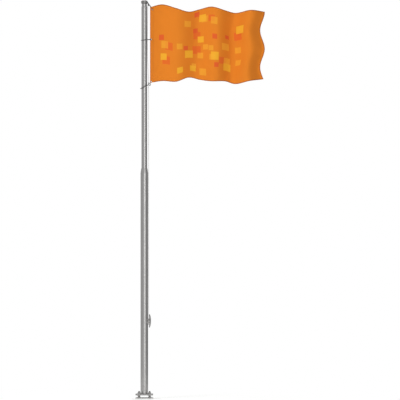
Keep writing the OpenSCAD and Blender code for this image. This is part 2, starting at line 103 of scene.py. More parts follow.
class Pad:
    # a node tree to work on: a new material's, or the world's
    def __init__(self, name, kind="materials"):
        self.owner = getattr(bpy.data, kind).new(name)
        self.owner.use_nodes = True
        self.tree = self.owner.node_tree
        self.tree.nodes.clear()

    def node(self, kind, settings=None, *values, out=0, **named):
        made = self.tree.nodes.new(kind)
        for key, setting in (settings or {}).items():
            setattr(made, key, setting)
        for socket, value in zip(made.inputs, values):
            self.feed(socket, value)
        for key, value in named.items():
            self.feed(made.inputs[key.replace("_", " ")], value)
        return Value(self, made.outputs[out])

    def feed(self, socket, value):
        if isinstance(value, Value):
            self.tree.links.new(value.socket, socket)
        elif value is not None:
            socket.default_value = value

    def place(self):
        return self.node("ShaderNodeTexCoord", out="Object")

    def flat(self, name):
        return self.node("ShaderNodeUVMap", {"uv_map": name})

    def axes(self, vector):
        first = self.node("ShaderNodeSeparateXYZ", None, vector)
        return [Value(self, socket) for socket in first.socket.node.outputs]

    def vector(self, x, y, z=0.0):
        return self.node("ShaderNodeCombineXYZ", None, x, y, z)

    def scaled(self, vector, x, y, z):
        return self.node("ShaderNodeVectorMath", {"operation": "MULTIPLY"}, vector, (x, y, z))

    def fromAxis(self):
        # how far a point is from the mast's axis
        x, y, _ = self.axes(self.place())
        return self.node("ShaderNodeVectorMath", {"operation": "LENGTH"}, self.vector(x, y),
                         out="Value")

    def noise(self, vector, scale, detail=3.0, rough=0.55):
        return self.node("ShaderNodeTexNoise", None, Vector=vector, Scale=scale, Detail=detail,
                         Roughness=rough)

    def mix(self, share, first, second, blend="MIX"):
        skipped = [None] * 5   # the sockets that belong to the node's other kinds of mix
        return self.node("ShaderNodeMix", {"data_type": "RGBA", "blend_type": blend}, share,
                         *skipped, first, second, out=2)

    def bump(self, height, distance, strength=1.0, normal=None):
        return self.node("ShaderNodeBump", None, Strength=strength, Distance=distance,
                         Height=height, Normal=normal)

    def worn(self, radius, low, high):
        # 1 along edges, from how far a rounded normal leans from the true one
        soft = self.node("ShaderNodeBevel", {"samples": 4}, Radius=radius)
        true = self.node("ShaderNodeNewGeometry", out="Normal")
        lean = self.node("ShaderNodeVectorMath", {"operation": "DOT_PRODUCT"}, soft, true,
                         out="Value")
        return (1 - lean).step(low, high)

    def background(self):
        # 1 for the rays that see or mirror the background
        seen = self.node("ShaderNodeLightPath", out="Is Camera Ray")
        rays = seen.socket.node.outputs
        for kind in ("Is Glossy Ray", "Is Transmission Ray"):
            seen = seen.most(Value(self, rays[kind]))
        return seen

    def end(self, surface, kind="ShaderNodeOutputMaterial"):
        self.tree.links.new(surface.socket, self.tree.nodes.new(kind).inputs["Surface"])
        return self.owner

    def finish(self, colour, rough, metal=0.0, normal=None, **fixed):
        return self.end(self.node("ShaderNodeBsdfPrincipled", None, Base_Color=colour,
                                  Roughness=rough, Metallic=metal, Normal=normal, **fixed))


def grey(level, warm=0.0):
    return (level * (1 + warm), level, level * (1 - warm), 1.0)


tubeLook = {"deep": 0.40, "pale": 0.50, "soil": 0.24, "soilTop": 0.20, "soilShare": 0.12,
            "rough": 0.245, "lines": 900, "bands": 60, "lineDepth": 0.00002}


def anodisedTube():
    # satin tube: fine lines along the extrusion, faint blotches, a little dirt at the foot
    pad, look = Pad("anodisedTube"), tubeLook
    at = pad.place()
    height = pad.axes(at)[2]
    lines = pad.noise(pad.scaled(at, look["lines"], look["lines"], 1.2), 1.0, 2.0)
    bands = pad.noise(pad.scaled(at, look["bands"], look["bands"], 0.25), 1.0, 2.0)
    cloud = pad.noise(at, 9.0, 4.0)
    splash = pad.noise(pad.scaled(at, 50, 50, 18), 1.0, 4.0).step(0.35, 0.75)
    dirt = height.step(look["soilTop"], 0.06) * splash
    tone = pad.mix(bands * 0.5 + cloud * 0.5, grey(look["deep"], 0.012), grey(look["pale"], 0.014))
    tone = pad.mix(dirt * look["soilShare"], tone, grey(look["soil"], 0.06))
    rough = look["rough"] + 0.05 * cloud + 0.04 * bands + 0.05 * dirt
    return pad.finish(tone, rough, 1.0, pad.bump(lines, look["lineDepth"], 0.25))


castLook = {"worn": 0.56, "edge": 0.0016, "rough": 0.52, "depth": 0.00016}


def castAluminium(name, deep, pale):
    # cast and welded pieces: fine grain, darker in the hollows, bright on worn edges
    pad, look = Pad(name), castLook
    at = pad.place()
    grain = pad.noise(at, 900.0, 3.0, 0.6)
    cloud = pad.noise(at, 45.0, 5.0, 0.62)
    worn = pad.worn(look["edge"], 0.02, 0.16) * pad.noise(at, 160.0, 3.0).step(0.35, 0.6)
    tone = pad.mix(cloud, grey(deep, 0.02), grey(pale, 0.02))
    tone = pad.mix(worn, tone, grey(look["worn"], 0.01))
    rough = look["rough"] - 0.16 * worn + 0.12 * grain
    return pad.finish(tone, rough, 0.9, pad.bump(grain + cloud * 1.4, look["depth"], 0.7))


capLook = {"deep": 0.50, "pale": 0.66, "rough": 0.24, "rings": 5200, "depth": 0.00004}


def capAluminium():
    # turned and polished: rings about the mast's axis
    pad, look = Pad("capAluminium"), capLook
    rings = (pad.fromAxis() * look["rings"]).sine()
    cloud = pad.noise(pad.place(), 70.0, 4.0)
    tone = pad.mix(cloud, grey(look["deep"], 0.01), grey(look["pale"], 0.01))
    return pad.finish(tone, look["rough"] + 0.16 * cloud, 1.0,
                      pad.bump(rings + cloud, look["depth"], 0.5))


zincDipLook = {"deep": 0.55, "pale": 0.78, "soil": 0.26, "soilTop": 0.012, "soilShare": 0.45,
               "spangle": 130.0, "rough": 0.36, "depth": 0.00008}


def galvanisedSteel():
    # hot-dip zinc: a faint spangle, dull patches, dirt where the plate meets the ground
    pad, look = Pad("galvanisedSteel"), zincDipLook
    at = pad.place()
    height = pad.axes(at)[2]
    flakes = pad.node("ShaderNodeTexVoronoi", None, Vector=at, Scale=look["spangle"], out="Color")
    flake = pad.axes(flakes)[0]
    cloud = pad.noise(at, 22.0, 5.0)
    low = height.step(look["soilTop"], 0.0) * cloud.step(0.35, 0.7)
    tone = pad.mix(flake * 0.55 + cloud * 0.45, grey(look["deep"], 0.01), grey(look["pale"], 0.01))
    tone = pad.mix(low * look["soilShare"], tone, grey(look["soil"], 0.10))
    rough = look["rough"] + 0.20 * flake + 0.1 * cloud
    return pad.finish(tone, rough, 0.85, pad.bump(flake + cloud, look["depth"], 0.5))


platedLook = {"worn": 0.55, "edge": 0.0007, "rough": 0.34, "depth": 0.00005}


def zincSteel(name, deep, pale):
    # plated fasteners: greyer in the hollows, brighter on the corners
    pad, look = Pad(name), platedLook
    at = pad.place()
    cloud = pad.noise(at, 120.0, 5.0)
    fine = pad.noise(at, 1400.0, 2.0)
    worn = pad.worn(look["edge"], 0.03, 0.2)
    tone = pad.mix(cloud, grey(deep, 0.02), grey(pale, 0.02))
    tone = pad.mix(worn * 0.8, tone, grey(look["worn"], 0.01))
    return pad.finish(tone, look["rough"] + 0.16 * cloud, 0.95,
                      pad.bump(fine + cloud, look["depth"], 0.6))


coatLook = {"bare": 0.34, "edge": 0.0009, "gloss": 0.3, "depth": 0.00004}


def darkMetal(name, deep, pale, metal, rough, coat=0.0):
    # dark coat on the truck, rings and hooks, rubbed through to metal along the edges
    pad, look = Pad(name), coatLook
    at = pad.place()
    cloud = pad.noise(at, 80.0, 4.0)
    grain = pad.noise(at, 1500.0, 2.0)
    rubbed = pad.worn(look["edge"], 0.06, 0.26) * pad.noise(at, 260.0, 4.0, 0.65).step(0.42, 0.6)
    tone = pad.mix(cloud, grey(deep, 0.03), grey(pale, 0.03))
    tone = pad.mix(rubbed, tone, grey(look["bare"], 0.02))
    return pad.finish(tone, rough + 0.12 * cloud - 0.06 * rubbed, metal + (1 - metal) * rubbed,
                      pad.bump(grain + cloud, look["depth"], 0.5),
                      Specular_IOR_Level=look["gloss"], Coat_Weight=coat, Coat_Roughness=0.08)


def blackNylon():
    pad = Pad("blackNylon")
    at = pad.place()
    cloud = pad.noise(at, 300.0, 3.0)
    return pad.finish(pad.mix(cloud, grey(0.02), grey(0.05)), 0.42 + 0.15 * cloud, 0.0,
                      pad.bump(pad.noise(at, 1600.0), 0.00006, 0.5))


yarnLook = {"soilShare": 0.6, "strandShadeShare": 0.75, "rough": 0.78, "depth": 0.0003, "sheen": 0.2}


def ropeYarn(name, clean, soiled, deep):
    # polyester: fibres along each strand, grey as painted shade in the hollows between the strands
    pad, look = Pad(name), yarnLook
    along, around, _ = pad.axes(pad.flat("lay"))
    hollow = pad.node("ShaderNodeAttribute", {"attribute_name": "hollow"}, out="Fac")
    fibres = pad.noise(pad.vector(along * 900, around * 40), 1.0, 3.0)
    soil = pad.noise(pad.vector(along * 7, around * 2), 1.0, 4.0).step(0.35, 0.75)
    tone = pad.mix(soil * look["soilShare"], grey(clean, 0.02), grey(soiled, 0.05))
    # painted shade: darker in the hollows between the strands
    tone = pad.mix(hollow * look["strandShadeShare"], tone, grey(deep, 0.06))
    return pad.finish(tone, look["rough"], 0.0, pad.bump(fibres, look["depth"], 0.5),
                      Sheen_Weight=look["sheen"])


clothLook = {
    "dye": (0.80, 0.232, 0.020, 1.0),
    # the hems' colour, darkened to paint shade along the flag's rim
    "hemPaintedShade": (0.46, 0.130, 0.018, 1.0),
    "tapeDye": (0.74, 0.212, 0.020, 1.0),
    # painted shade for the tape's rounded outer fold
    "luffFoldShade": (0.40, 0.115, 0.018, 1.0),
    "uneven": (0.86, 0.80, 0.78, 1.0),
    "thread": ((0.62, 0.20, 0.03, 1.0), (0.86, 0.36, 0.07, 1.0)),
    "knitDepth": 0.00012, "ribDepth": 0.0001,
    "squares": [  # cell in metres, where the grid starts, share of cells filled, side, ink, cover
        (0.196, (0.031, 0.047), 0.46, (0.084, 0.118), (0.78, 0.135, 0.022, 1.0), 0.85),
        (0.178, (2.184, 0.616), 0.44, (0.076, 0.110), (0.88, 0.42, 0.028, 1.0), 0.95),
        (0.166, (1.012, 1.093), 0.34, (0.062, 0.098), (0.90, 0.42, 0.035, 1.0), 0.55),
        (0.158, (0.561, 2.029), 0.22, (0.050, 0.078), (0.76, 0.110, 0.026, 1.0), 0.95),
    ],
    "middle": (0.74, 0.51),   # the oval of cloth that has squares on it
    "reach": (0.66, 0.40),
}


def clothPad(name, dye):
    # knitted polyester: the dye, uneven by a hair, and the knit's loops
    pad = Pad(name)
    flat = pad.flat("flat")
    u, v, _ = pad.axes(flat)
    loops = (u * 5200).sine() * (v * 4300).sine()
    paler = pad.mix(1.0, dye, clothLook["uneven"], "MULTIPLY")
    tone = pad.mix(pad.noise(flat, 6.0, 4.0) * 0.35, dye, paler)
    return pad, flat, u, v, tone, pad.bump(loops, clothLook["knitDepth"], 0.35)


def flagFabric():
    # printed squares, scattered over the flag's middle
    pad, _, u, v, tone, weave = clothPad("flagFabric", clothLook["dye"])
    (middleU, middleV), (reachU, reachV) = clothLook["middle"], clothLook["reach"]
    for cell, (startU, startV), share, (small, large), ink, cover in clothLook["squares"]:
        cu, cv = (u + startU) / cell, (v + startV) / cell
        iu, iv = cu.floor(), cv.floor()
        r, g, b = pad.axes(pad.node("ShaderNodeTexWhiteNoise", {"noise_dimensions": "2D"},
                                    pad.vector(iu, iv), out="Color"))
        half = (small + (large - small) * r) / 2
        slack = cell / 2 - half
        pu = (cu - iu - 0.5) * cell - (2 * g - 1) * slack
        pv = (cv - iv - 0.5) * cell - (2 * b - 1) * slack
        inside = (pu.size().most(pv.size()) - half).step(0.004, -0.004)
        # the cell's middle has to lie in the oval
        mu = ((iu + 0.5) * cell - startU - middleU) / reachU
        mv = ((iv + 0.5) * cell - startV - middleV) / reachV
        near = (mu * mu + mv * mv).step(1.02, 0.98)
        dice = b * 7.31 + g * 3.77 + r * 5.13
        chosen = (dice - dice.floor()).step(share + 0.001, share - 0.001)
        tone = pad.mix(inside * near * chosen * cover, tone, ink)
    return pad.finish(tone, 0.75, 0.0, weave, Specular_IOR_Level=0.12)


def headingFabric():
    # the folded hems: their dye darkened as painted shade along the flag's rim, rubbed dull
    pad, _, u, v, tone, weave = clothPad("headingFabric", clothLook["hemPaintedShade"])
    ribs = (u * 3600).sine() + (v * 3600).sine()
    return pad.finish(tone, 0.78, 0.0, pad.bump(ribs, clothLook["ribDepth"], 0.4, weave),
                      Specular_IOR_Level=0.15)


def luffFabric():
    # the luff's tape: a shade under the flag, with painted shade along its rounded outer fold
    pad, flat, u, _, tone, weave = clothPad("luffFabric", clothLook["tapeDye"])
    # painted shade: the tape darkens towards its outer fold
    edge = (u + 0.004 * pad.noise(flat, 30.0)).step(0.012, 0.003)
    tone = pad.mix(edge * 0.8, tone, clothLook["luffFoldShade"])
    ribs = (u * 4200).sine()
    return pad.finish(tone, 0.76, 0.0, pad.bump(ribs, clothLook["ribDepth"], 0.35, weave),
                      Specular_IOR_Level=0.12)


def seamThread():
    pad = Pad("seamThread")
    return pad.finish(pad.mix(pad.noise(pad.place(), 900.0, 2.0), *clothLook["thread"]), 0.6)


brassLook = {"deep": (0.10, 0.042, 0.013, 1.0), "pale": (0.19, 0.085, 0.026, 1.0),
             "bright": (0.36, 0.20, 0.07, 1.0), "edge": 0.0006, "rough": 0.46}


def eyeletBrass():
    # rolled brass, gone brown, bright where the hooks rub it
    pad, look = Pad("eyeletBrass"), brassLook
    cloud = pad.noise(pad.place(), 220.0, 4.0)
    rubbed = pad.worn(look["edge"], 0.05, 0.3)
    tone = pad.mix(cloud, look["deep"], look["pale"])
    tone = pad.mix(rubbed * 0.4, tone, look["bright"])
    return pad.finish(tone, look["rough"] + 0.2 * cloud, 0.6, pad.bump(cloud, 0.00005, 0.5))


finishes = {
    "anodised_tube": anodisedTube(),
    "mill_aluminium": castAluminium("castAluminium", 0.32, 0.46),
    "cap_aluminium": capAluminium(),
    "galvanised_steel": galvanisedSteel(),
    "zinc_steel": zincSteel("zincSteel", 0.30, 0.45),
    "dark_metal": darkMetal("darkMetal", 0.035, 0.075, 0.5, 0.34),
    "sheave_plastic": blackNylon(),
    "rope": ropeYarn("ropeYarn", 0.80, 0.60, 0.26),
    "heading_fabric": headingFabric(),
    "flag_fabric": flagFabric(),
    "eyelet_brass": eyeletBrass(),
}
# variants within a slot
thread = seamThread()
twine = ropeYarn("twine", 0.045, 0.075, 0.02)
hornAluminium = castAluminium("hornAluminium", 0.20, 0.32)
brightSteel = zincSteel("brightSteel", 0.70, 0.86)
collarCoat = darkMetal("collarCoat", 0.18, 0.26, 1.0, 0.12, 1.0)
print("finishes made")

merge = 0.000001   # metres within which two vertices are one


def point(x, y, z):
    return Vector((x * mm, y * mm, z * mm))


def shift(x, y, z):
    return Matrix.Translation(point(x, y, z))


def turned(degrees, axis):
    return Matrix.Rotation(math.radians(degrees), 4, axis)


def crosswise(x, z):
    # lays a piece made about Z across the mast's plane, at a place in that plane
    return shift(x, 0, z) @ turned(90, "X")


def boxOf(node):
    return [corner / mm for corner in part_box(node)]


def pick(*objects):
    bpy.ops.object.select_all(action="DESELECT")
    for each in objects:
        each.select_set(True)
    bpy.context.view_layer.objects.active = objects[0]


def added(primitive, **settings):
    bpy.ops.object.select_all(action="DESELECT")
    primitive(**settings)
    return bpy.context.active_object


def named(name):
    made = bpy.context.active_object
    made.name = made.data.name = name
    return made


def edit(obj):
    pick(obj)
    bpy.ops.object.mode_set(mode="EDIT")
    bpy.ops.mesh.select_mode(type="VERT")
    bpy.ops.mesh.select_all(action="SELECT")


def done():
    bpy.ops.object.mode_set(mode="OBJECT")


def sealed(holes=0):
    # doubles merged, open ends filled, faces turned outwards
    bpy.ops.mesh.select_all(action="SELECT")
    bpy.ops.mesh.remove_doubles(threshold=merge)
    if holes:
        bpy.ops.mesh.fill_holes(sides=holes)
    bpy.ops.mesh.normals_make_consistent(inside=False)
    done()


def applied(obj):
    pick(obj)
    for modifier in list(obj.modifiers):
        bpy.ops.object.modifier_apply(modifier=modifier.name)
    return obj


def settled(obj, angle=32):
    # place, turn and scale go into the mesh; edges past the angle stay sharp
    pick(obj)
    bpy.ops.object.transform_apply(location=True, rotation=True, scale=True)
    bpy.ops.object.shade_smooth_by_angle(angle=math.radians(angle))
    return obj


def joined(name, pieces):
    pick(*pieces)
    bpy.ops.object.join()
    return named(name)


def copyOf(obj, matrix):
    twin = obj.copy()
    twin.data = obj.data.copy()
    scene.collection.objects.link(twin)
    twin.data.transform(matrix)
    return twin


def scrap(*objects):
    for each in objects:
        bpy.data.objects.remove(each, do_unlink=True)


def drawn(name, points):
    # a line in the XZ plane, drawn by extruding one vertex from point to point
    added(bpy.ops.mesh.primitive_plane_add, size=mm)
    line = named(name)
    edit(line)
    bpy.ops.mesh.merge(type="CENTER")
    here = point(points[0][0], 0, points[0][1])
    bpy.ops.transform.translate(value=here)
    for x, z in points[1:]:
        there = point(x, 0, z)
        bpy.ops.mesh.extrude_region_move(TRANSFORM_OT_translate={"value": there - here})
        here = there
    bpy.ops.mesh.select_all(action="SELECT")
    return line


def lathe(name, points, steps=48):
    # the drawn line spun about Z; its ends meet, or lie on the axis
    line = drawn(name, points)
    bpy.ops.mesh.spin(steps=steps, angle=turn, center=(0, 0, 0), axis=(0, 0, 1))
    sealed()
    return line


def cut(obj, tool, operation="DIFFERENCE"):
    modifier = obj.modifiers.new("cut", "BOOLEAN")
    modifier.object = tool
    modifier.operation = operation
    modifier.solver = "EXACT"
    applied(obj)
    scrap(tool)
    return obj


def bar(radius, long, sides=32, at=(0, 0, 0)):
    return added(bpy.ops.mesh.primitive_cylinder_add, vertices=sides, radius=radius * mm,
                 depth=long * mm, location=point(*at))


def edged(obj, width, steps=3, angle=40):
    # a bevel along each edge that is sharper than the angle
    bevel = obj.modifiers.new("edges", "BEVEL")
    bevel.width = width * mm
    bevel.segments = steps
    bevel.limit_method = "ANGLE"
    bevel.angle_limit = math.radians(angle)
    return settled(applied(obj))


def softened(node, name, width, steps=3, angle=28):
    # the node's own shape with its edges broken
    twin = bpy.data.objects.new(name, nodes[node].data.copy())
    scene.collection.objects.link(twin)
    edit(twin)
    bpy.ops.mesh.remove_doubles(threshold=4 * merge)
    bpy.ops.mesh.dissolve_limited(angle_limit=math.radians(0.6))
    done()
    return edged(twin, width, steps, angle)


def meshOf(name, verts, faces):
    mesh = bpy.data.meshes.new(name)
    mesh.from_pydata(verts, [], faces)
    obj = bpy.data.objects.new(name, mesh)
    scene.collection.objects.link(obj)
    edit(obj)
    bpy.ops.mesh.normals_make_consistent(inside=False)
    done()
    return obj


def layFlat(obj, name, uvs):
    # one place on the flat for each vertex
    layer = obj.data.uv_layers.new(name=name)
    for loop in obj.data.loops:
        layer.data[loop.index].uv = uvs[loop.vertex_index]


def skinned(name, verts, count):
    # a closed skin over rows of points, so many in a row
    rows = len(verts) // count
    faces = [(row * count + k, row * count + (k + 1) % count, (row + 1) * count + (k + 1) % count,
              (row + 1) * count + k) for row in range(rows - 1) for k in range(count)]
    faces += [tuple(reversed(range(count))), tuple(range((rows - 1) * count, rows * count))]
    return meshOf(name, verts, faces)


def placed(obj, body, slot, *replaced, look=None):
    # the slot's finish, or a variant of it
    obj.data.materials.clear()
    obj.data.materials.append(look or finishes[slot])
    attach(obj, body)
    if replaced:
        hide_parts(*replaced)
    return obj


base = {"rodRadius": 10.0, "rodRoot": 8.8, "pitch": 2.5, "rodTop": 101.0, "half": 70.0,
        "acrossCorners": 17.32, "acrossFlats": 0.868, "nutFall": 1.5, "boreMouth": 1.1,
        "thinNut": 10.0, "fullNut": 18.0, "washer": 22.0, "washerBore": 10.5, "washerThick": 3.0,
        "softEdge": 1.6, "rodTwist": 51.5662}
corners = [(base["half"] * x, base["half"] * y) for x, y in ((1, 1), (-1, 1), (-1, -1), (1, -1))]


def threadedRod():
    # one thread profile wound up the rod, then cut square at the foot and to length at the top
    root, crest, p, top = (base[key] for key in ("rodRoot", "rodRadius", "pitch", "rodTop"))
    line = drawn("rod", [(root, -p), (root, -0.94 * p), (crest, -0.56 * p), (crest, -0.44 * p),
                         (root, -0.06 * p), (root, 0)])
    done()
    winding = line.modifiers.new("thread", "SCREW")
    winding.axis = "Z"
    winding.steps = winding.render_steps = 28
    winding.screw_offset = p * mm
    winding.iterations = int(top / p) + 3
    winding.use_merge_vertices = True
    winding.merge_threshold = 2 * merge
    applied(line)
    for height, above in ((0.0, False), (top, True)):
        edit(line)
        bpy.ops.mesh.bisect(plane_co=point(0, 0, height), plane_no=(0, 0, 1), use_fill=True,
                            clear_inner=not above, clear_outer=above)
        done()
    # the tip is turned down to a cone
    cone = lathe("tip", [(0, -1), (crest + 1, -1), (crest + 1, top - 3.2), (crest - 2.4, top),
                         (0, top)], 28)
    edit(line)
    bpy.ops.mesh.remove_doubles(threshold=2 * merge)
    bpy.ops.mesh.normals_make_consistent(inside=False)
    done()
    return cut(line, cone, "INTERSECT")


def hexNut(high):
    # a hexagon, its corners turned off at both ends, and a bore with its mouth broken
    corner, fall, mouth = base["acrossCorners"], base["nutFall"], base["boreMouth"]
    flat, wide = corner * base["acrossFlats"], corner + 0.2
    bore, open = base["rodRadius"] + 0.05, base["rodRadius"] + mouth
    nut = bar(corner, high, 6, (0, 0, high / 2))
    nut.rotation_euler.z = math.radians(90)
    settled(nut)
    cut(nut, lathe("turned", [(0, 0), (flat, 0), (wide, fall), (wide, high - fall), (flat, high),
                              (0, high)], 64), "INTERSECT")
    cut(nut, lathe("bore", [(0, -10), (open, -10), (open, 0), (bore, mouth), (bore, high - mouth),
                            (open, high), (open, high + 10), (0, high + 10)], 40))
    return settled(nut, 25)


def flatWasher():
    r, bore, thick, e = base["washer"], base["washerBore"], base["washerThick"], 0.5
    return settled(lathe("washer", [(bore, 0), (r - e, 0), (r, e), (r, thick - e), (r - e, thick),
                                    (bore, thick), (bore, 0)], 56), 25)


for node, name, slot in (("anchor_plate", "anchorPlate", "galvanised_steel"),
                         ("base_flange", "baseFlange", "mill_aluminium")):
    placed(softened(node, name, base["softEdge"]), "mast", slot, node)
rod = settled(threadedRod(), 25)
for i, (x, y) in enumerate(corners):
    twin = copyOf(rod, shift(x, y, 0) @ turned(base["rodTwist"] * i, "Z"))
    twin.name = twin.data.name = f"anchorRod_{i + 1}"
    placed(twin, "mast", "zinc_steel", f"anchor_rod_{i + 1}")
thinNut, fullNut, washer = hexNut(base["thinNut"]), hexNut(base["fullNut"]), flatWasher()
for model, name, node, twist in (
    (thinNut, "plateNuts", "plate_nuts", 7), (thinNut, "levellingNuts", "levelling_nuts", -6),
    (fullNut, "flangeNuts", "flange_nuts", 5), (washer, "plateWashers", "plate_washers", 30),
    (washer, "levellingWashers", "levelling_washers", 50),
    (washer, "flangeWashers", "flange_washers", 70),
):
    # one on each rod, each turned a little further, as they were tightened
    height = boxOf(node)[0].z
    pieces = [copyOf(model, shift(x, y, height) @ turned(twist * i, "Z"))
              for i, (x, y) in enumerate(corners)]
    placed(joined(name, pieces), "mast", "zinc_steel", node)
scrap(rod, thinNut, fullNut, washer)

weld = {"beads": 84, "radius": 52.8, "height": 67.2, "long": 4.6, "wide": 4.7, "high": 4.5,
        "lean": -28, "voxel": 0.9}


def weldBead():
    # overlapping runs of the torch, melted into one bead
    one = added(bpy.ops.mesh.primitive_uv_sphere_add, segments=14, ring_count=10, radius=mm)
    one.scale = (weld["wide"], weld["long"], weld["high"])
    settled(one)
    runs = []
    for i in range(weld["beads"]):
        wander = 0.35 * math.sin(i * 2.4) + 0.25 * math.sin(i * 0.37)
        runs.append(copyOf(one, turned(360 * i / weld["beads"], "Z")
                           @ shift(weld["radius"] + wander * 0.6, 0, weld["height"] + wander * 0.4)
                           @ turned(weld["lean"], "Y")))
    scrap(one)
    bead = joined("footWeld", runs)
    bead.data.remesh_voxel_size = weld["voxel"] * mm
    bpy.ops.object.voxel_remesh()
    melt = bead.modifiers.new("melt", "SMOOTH")
    melt.factor = 0.5
    melt.iterations = 2
    return settled(applied(bead), 60)


placed(weldBead(), "mast", "mill_aluminium", "flange_weld")
print("base made")

mast = {"lowerWall": 3.0, "upperWall": 2.5, "edge": 0.7, "spigotIn": 37.65, "spigotOut": 46.85,
        "spigotLong": 60.0, "lip": 3.0, "plug": 34.95, "plugLong": 80.0, "neck": 33.0, "pin": 12.0,
        "shoulder": 3.0, "gap": 0.3, "steps": 96}


def tubeOf(node, name, wall):
    # a drawn tube with its sawn ends broken
    low, high = boxOf(node)
    r, e = high.x, mast["edge"]
    return settled(lathe(name, [
        (r - wall, low.z), (r - e, low.z), (r, low.z + e), (r, high.z - e), (r - e, high.z),
        (r - wall, high.z), (r - wall, low.z)], mast["steps"]))


def reducerOf(node):
    # turned cone with a lip at each end, its spigot down inside the lower tube
    low, high = boxOf(node)
    r, top = high.x, high.z
    foot = low.z + mast["spigotLong"]
    i, o, lip, e = (mast[key] for key in ("spigotIn", "spigotOut", "lip", "edge"))
    small = boxOf("upper_tube")[1].x + lip
    return settled(lathe("reducer", [
        (i, low.z), (o, low.z), (o, foot), (r - e, foot), (r, foot + e), (r, foot + lip - e),
        (r - 0.35 * e, foot + lip + 0.2 * e), (small + 0.25 * e, top - 1.6 * e),
        (small - 0.4 * e, top - 0.4 * e), (small - 1.4 * e, top), (i, top), (i, low.z)],
        mast["steps"]), 24)


def neckOf(node):
    # plug, shoulder, neck and the pin that the collar turns on
    low, high = boxOf(node)
    r, plug, pin, neck, sh, e = (high.x, *(mast[key] for key in ("plug", "pin", "neck",
                                                                  "shoulder", "edge")))
    foot, top = low.z + mast["plugLong"], boxOf("swivel_collar")[0].z - mast["gap"]
    return settled(lathe("truckNeck", [
        (0, low.z), (plug, low.z), (plug, foot), (r - e, foot), (r, foot + e),
        (r, foot + sh - 0.3 * e), (r - 0.5 * e, foot + sh + 0.4 * e),
        (neck + 0.6 * e, foot + 2 * sh - 0.2 * e), (neck, foot + 2 * sh + 0.6 * e), (neck, top - e),
        (neck - e, top), (pin, top), (pin, high.z), (0, high.z)], mast["steps"]), 28)


# the spindle's nut keeps its own shape
nodes["spindle_nut"].data.materials.clear()
nodes["spindle_nut"].data.materials.append(finishes["zinc_steel"])
for piece, node in (
    (tubeOf("lower_tube", "lowerTube", mast["lowerWall"]), "lower_tube"),
    (tubeOf("upper_tube", "upperTube", mast["upperWall"]), "upper_tube"),
    (neckOf("truck_spindle"), "truck_spindle"), (reducerOf("reducer_collar"), "reducer_collar"),
):
    placed(piece, "mast", "anodised_tube", node)
print("mast made")

cleat = {"middle": 1028.0, "screwTurn": 38, "legs": 41.0, "headRadius": 6.0, "headHigh": 3.0,
         "hexRadius": 2.3, "hexDeep": 1.7, "shank": 2.4, "shankEnd": 41.0, "saddleIn": 50.3,
         "saddleOut": 54.3, "saddleHalf": 58.0, "softEdge": 1.3, "postEdge": 2.4, "hornEdge": 4.6}


def panScrew():
    # domed head with a hexagon socket, and its shank
    r, h, shank = cleat["headRadius"], cleat["headHigh"], cleat["shank"]
    foot = cleat["shankEnd"] - cleat["saddleOut"]
    screw = lathe("panScrew", [
        (0, foot), (shank, foot), (shank, 0.1), (r - 0.4, 0.1), (r, 0.5), (r * 0.97, 0.45 * h),
        (r * 0.80, 0.80 * h), (r * 0.45, 0.97 * h), (0, h)], 36)
    return cut(screw, bar(cleat["hexRadius"], 2 * cleat["hexDeep"], 6, (0, 0, h)))


def bentSaddle():
    # a plate bent round the tube, its edges and corners rounded
    low, high = boxOf("cleat_saddle")
    inner, outer, sweep = cleat["saddleIn"], cleat["saddleOut"], 2 * cleat["saddleHalf"]
    plate = drawn("cleatSaddle", [(inner, low.z), (outer, low.z), (outer, high.z), (inner, high.z),
                                  (inner, low.z)])
    bpy.ops.mesh.spin(steps=48, angle=-math.radians(sweep), center=(0, 0, 0), axis=(0, 0, 1))
    sealed(6)
    plate.data.transform(turned(-sweep / 2, "Z"))
    return edged(plate, cleat["softEdge"])


placed(bentSaddle(), "mast", "mill_aluminium", "cleat_saddle")
placed(softened("cleat_posts", "cleatPosts", cleat["postEdge"], 4), "mast", "mill_aluminium",
       "cleat_posts", look=hornAluminium)
placed(softened("cleat_horns", "cleatHorns", cleat["hornEdge"], 5, 40), "mast", "mill_aluminium",
       "cleat_horns", look=hornAluminium)
screw = settled(panScrew(), 30)
pieces = [
    copyOf(screw, shift(0, 0, cleat["middle"] + leg * cleat["legs"] / 2)
           @ turned(side * cleat["screwTurn"], "Z") @ shift(cleat["saddleOut"], 0, 0)
           @ turned(90, "Y") @ turned(math.degrees(side + leg * 0.4), "Z"))
    for side in (-1, 1) for leg in (-1, 1)]
scrap(screw)
placed(joined("cleatScrews", pieces), "mast", "zinc_steel", "cleat_screws", look=brightSteel)
print("cleat made")

cap = {"foot": 5250.3, "rim": 41.5, "step": 2.5, "dome": 31.0, "high": 19.0, "recess": 18.0,
       "recessHigh": 8.0, "steps": 20}


def domeCap():
    # a stepped rim under a low dome, hollow over the spindle's nut
    foot, rim, dome, recess = cap["foot"], cap["rim"], cap["dome"], cap["recess"]
    brow, top = foot + cap["step"], foot + cap["high"]
    line = [(0, foot + cap["recessHigh"]), (recess, foot + cap["recessHigh"]), (recess, foot),
            (rim, foot), (rim, brow - 0.7), (rim - 0.7, brow), (dome, brow)]
    for i in range(1, cap["steps"]):
        a = turn / 4 * i / cap["steps"]
        line.append((dome * math.cos(a), brow + (top - brow) * math.sin(a)))
    return settled(lathe("domeCap", line + [(0, top)], 72), 30)


def turnedCollar():
    # tapered foot, a groove below the middle, and a broken upper edge
    low, high = boxOf("swivel_collar")
    r, foot, top = high.x, low.z, high.z
    skin = lathe("skin", [
        (0, foot - 1), (r - 8.4, foot - 1), (r - 8.2, foot), (r - 1.6, foot + 9),
        (r - 0.6, foot + 11), (r - 0.6, foot + 16), (r - 1.6, foot + 16.6), (r - 1.6, foot + 18),
        (r - 0.6, foot + 18.6), (r - 0.6, top - 4), (r - 1.4, top - 2), (r - 3.4, top),
        (r - 4, top + 1), (0, top + 1)], 96)
    return settled(cut(softened("swivel_collar", "swivelCollar", 0.3, 1), skin, "INTERSECT"), 30)


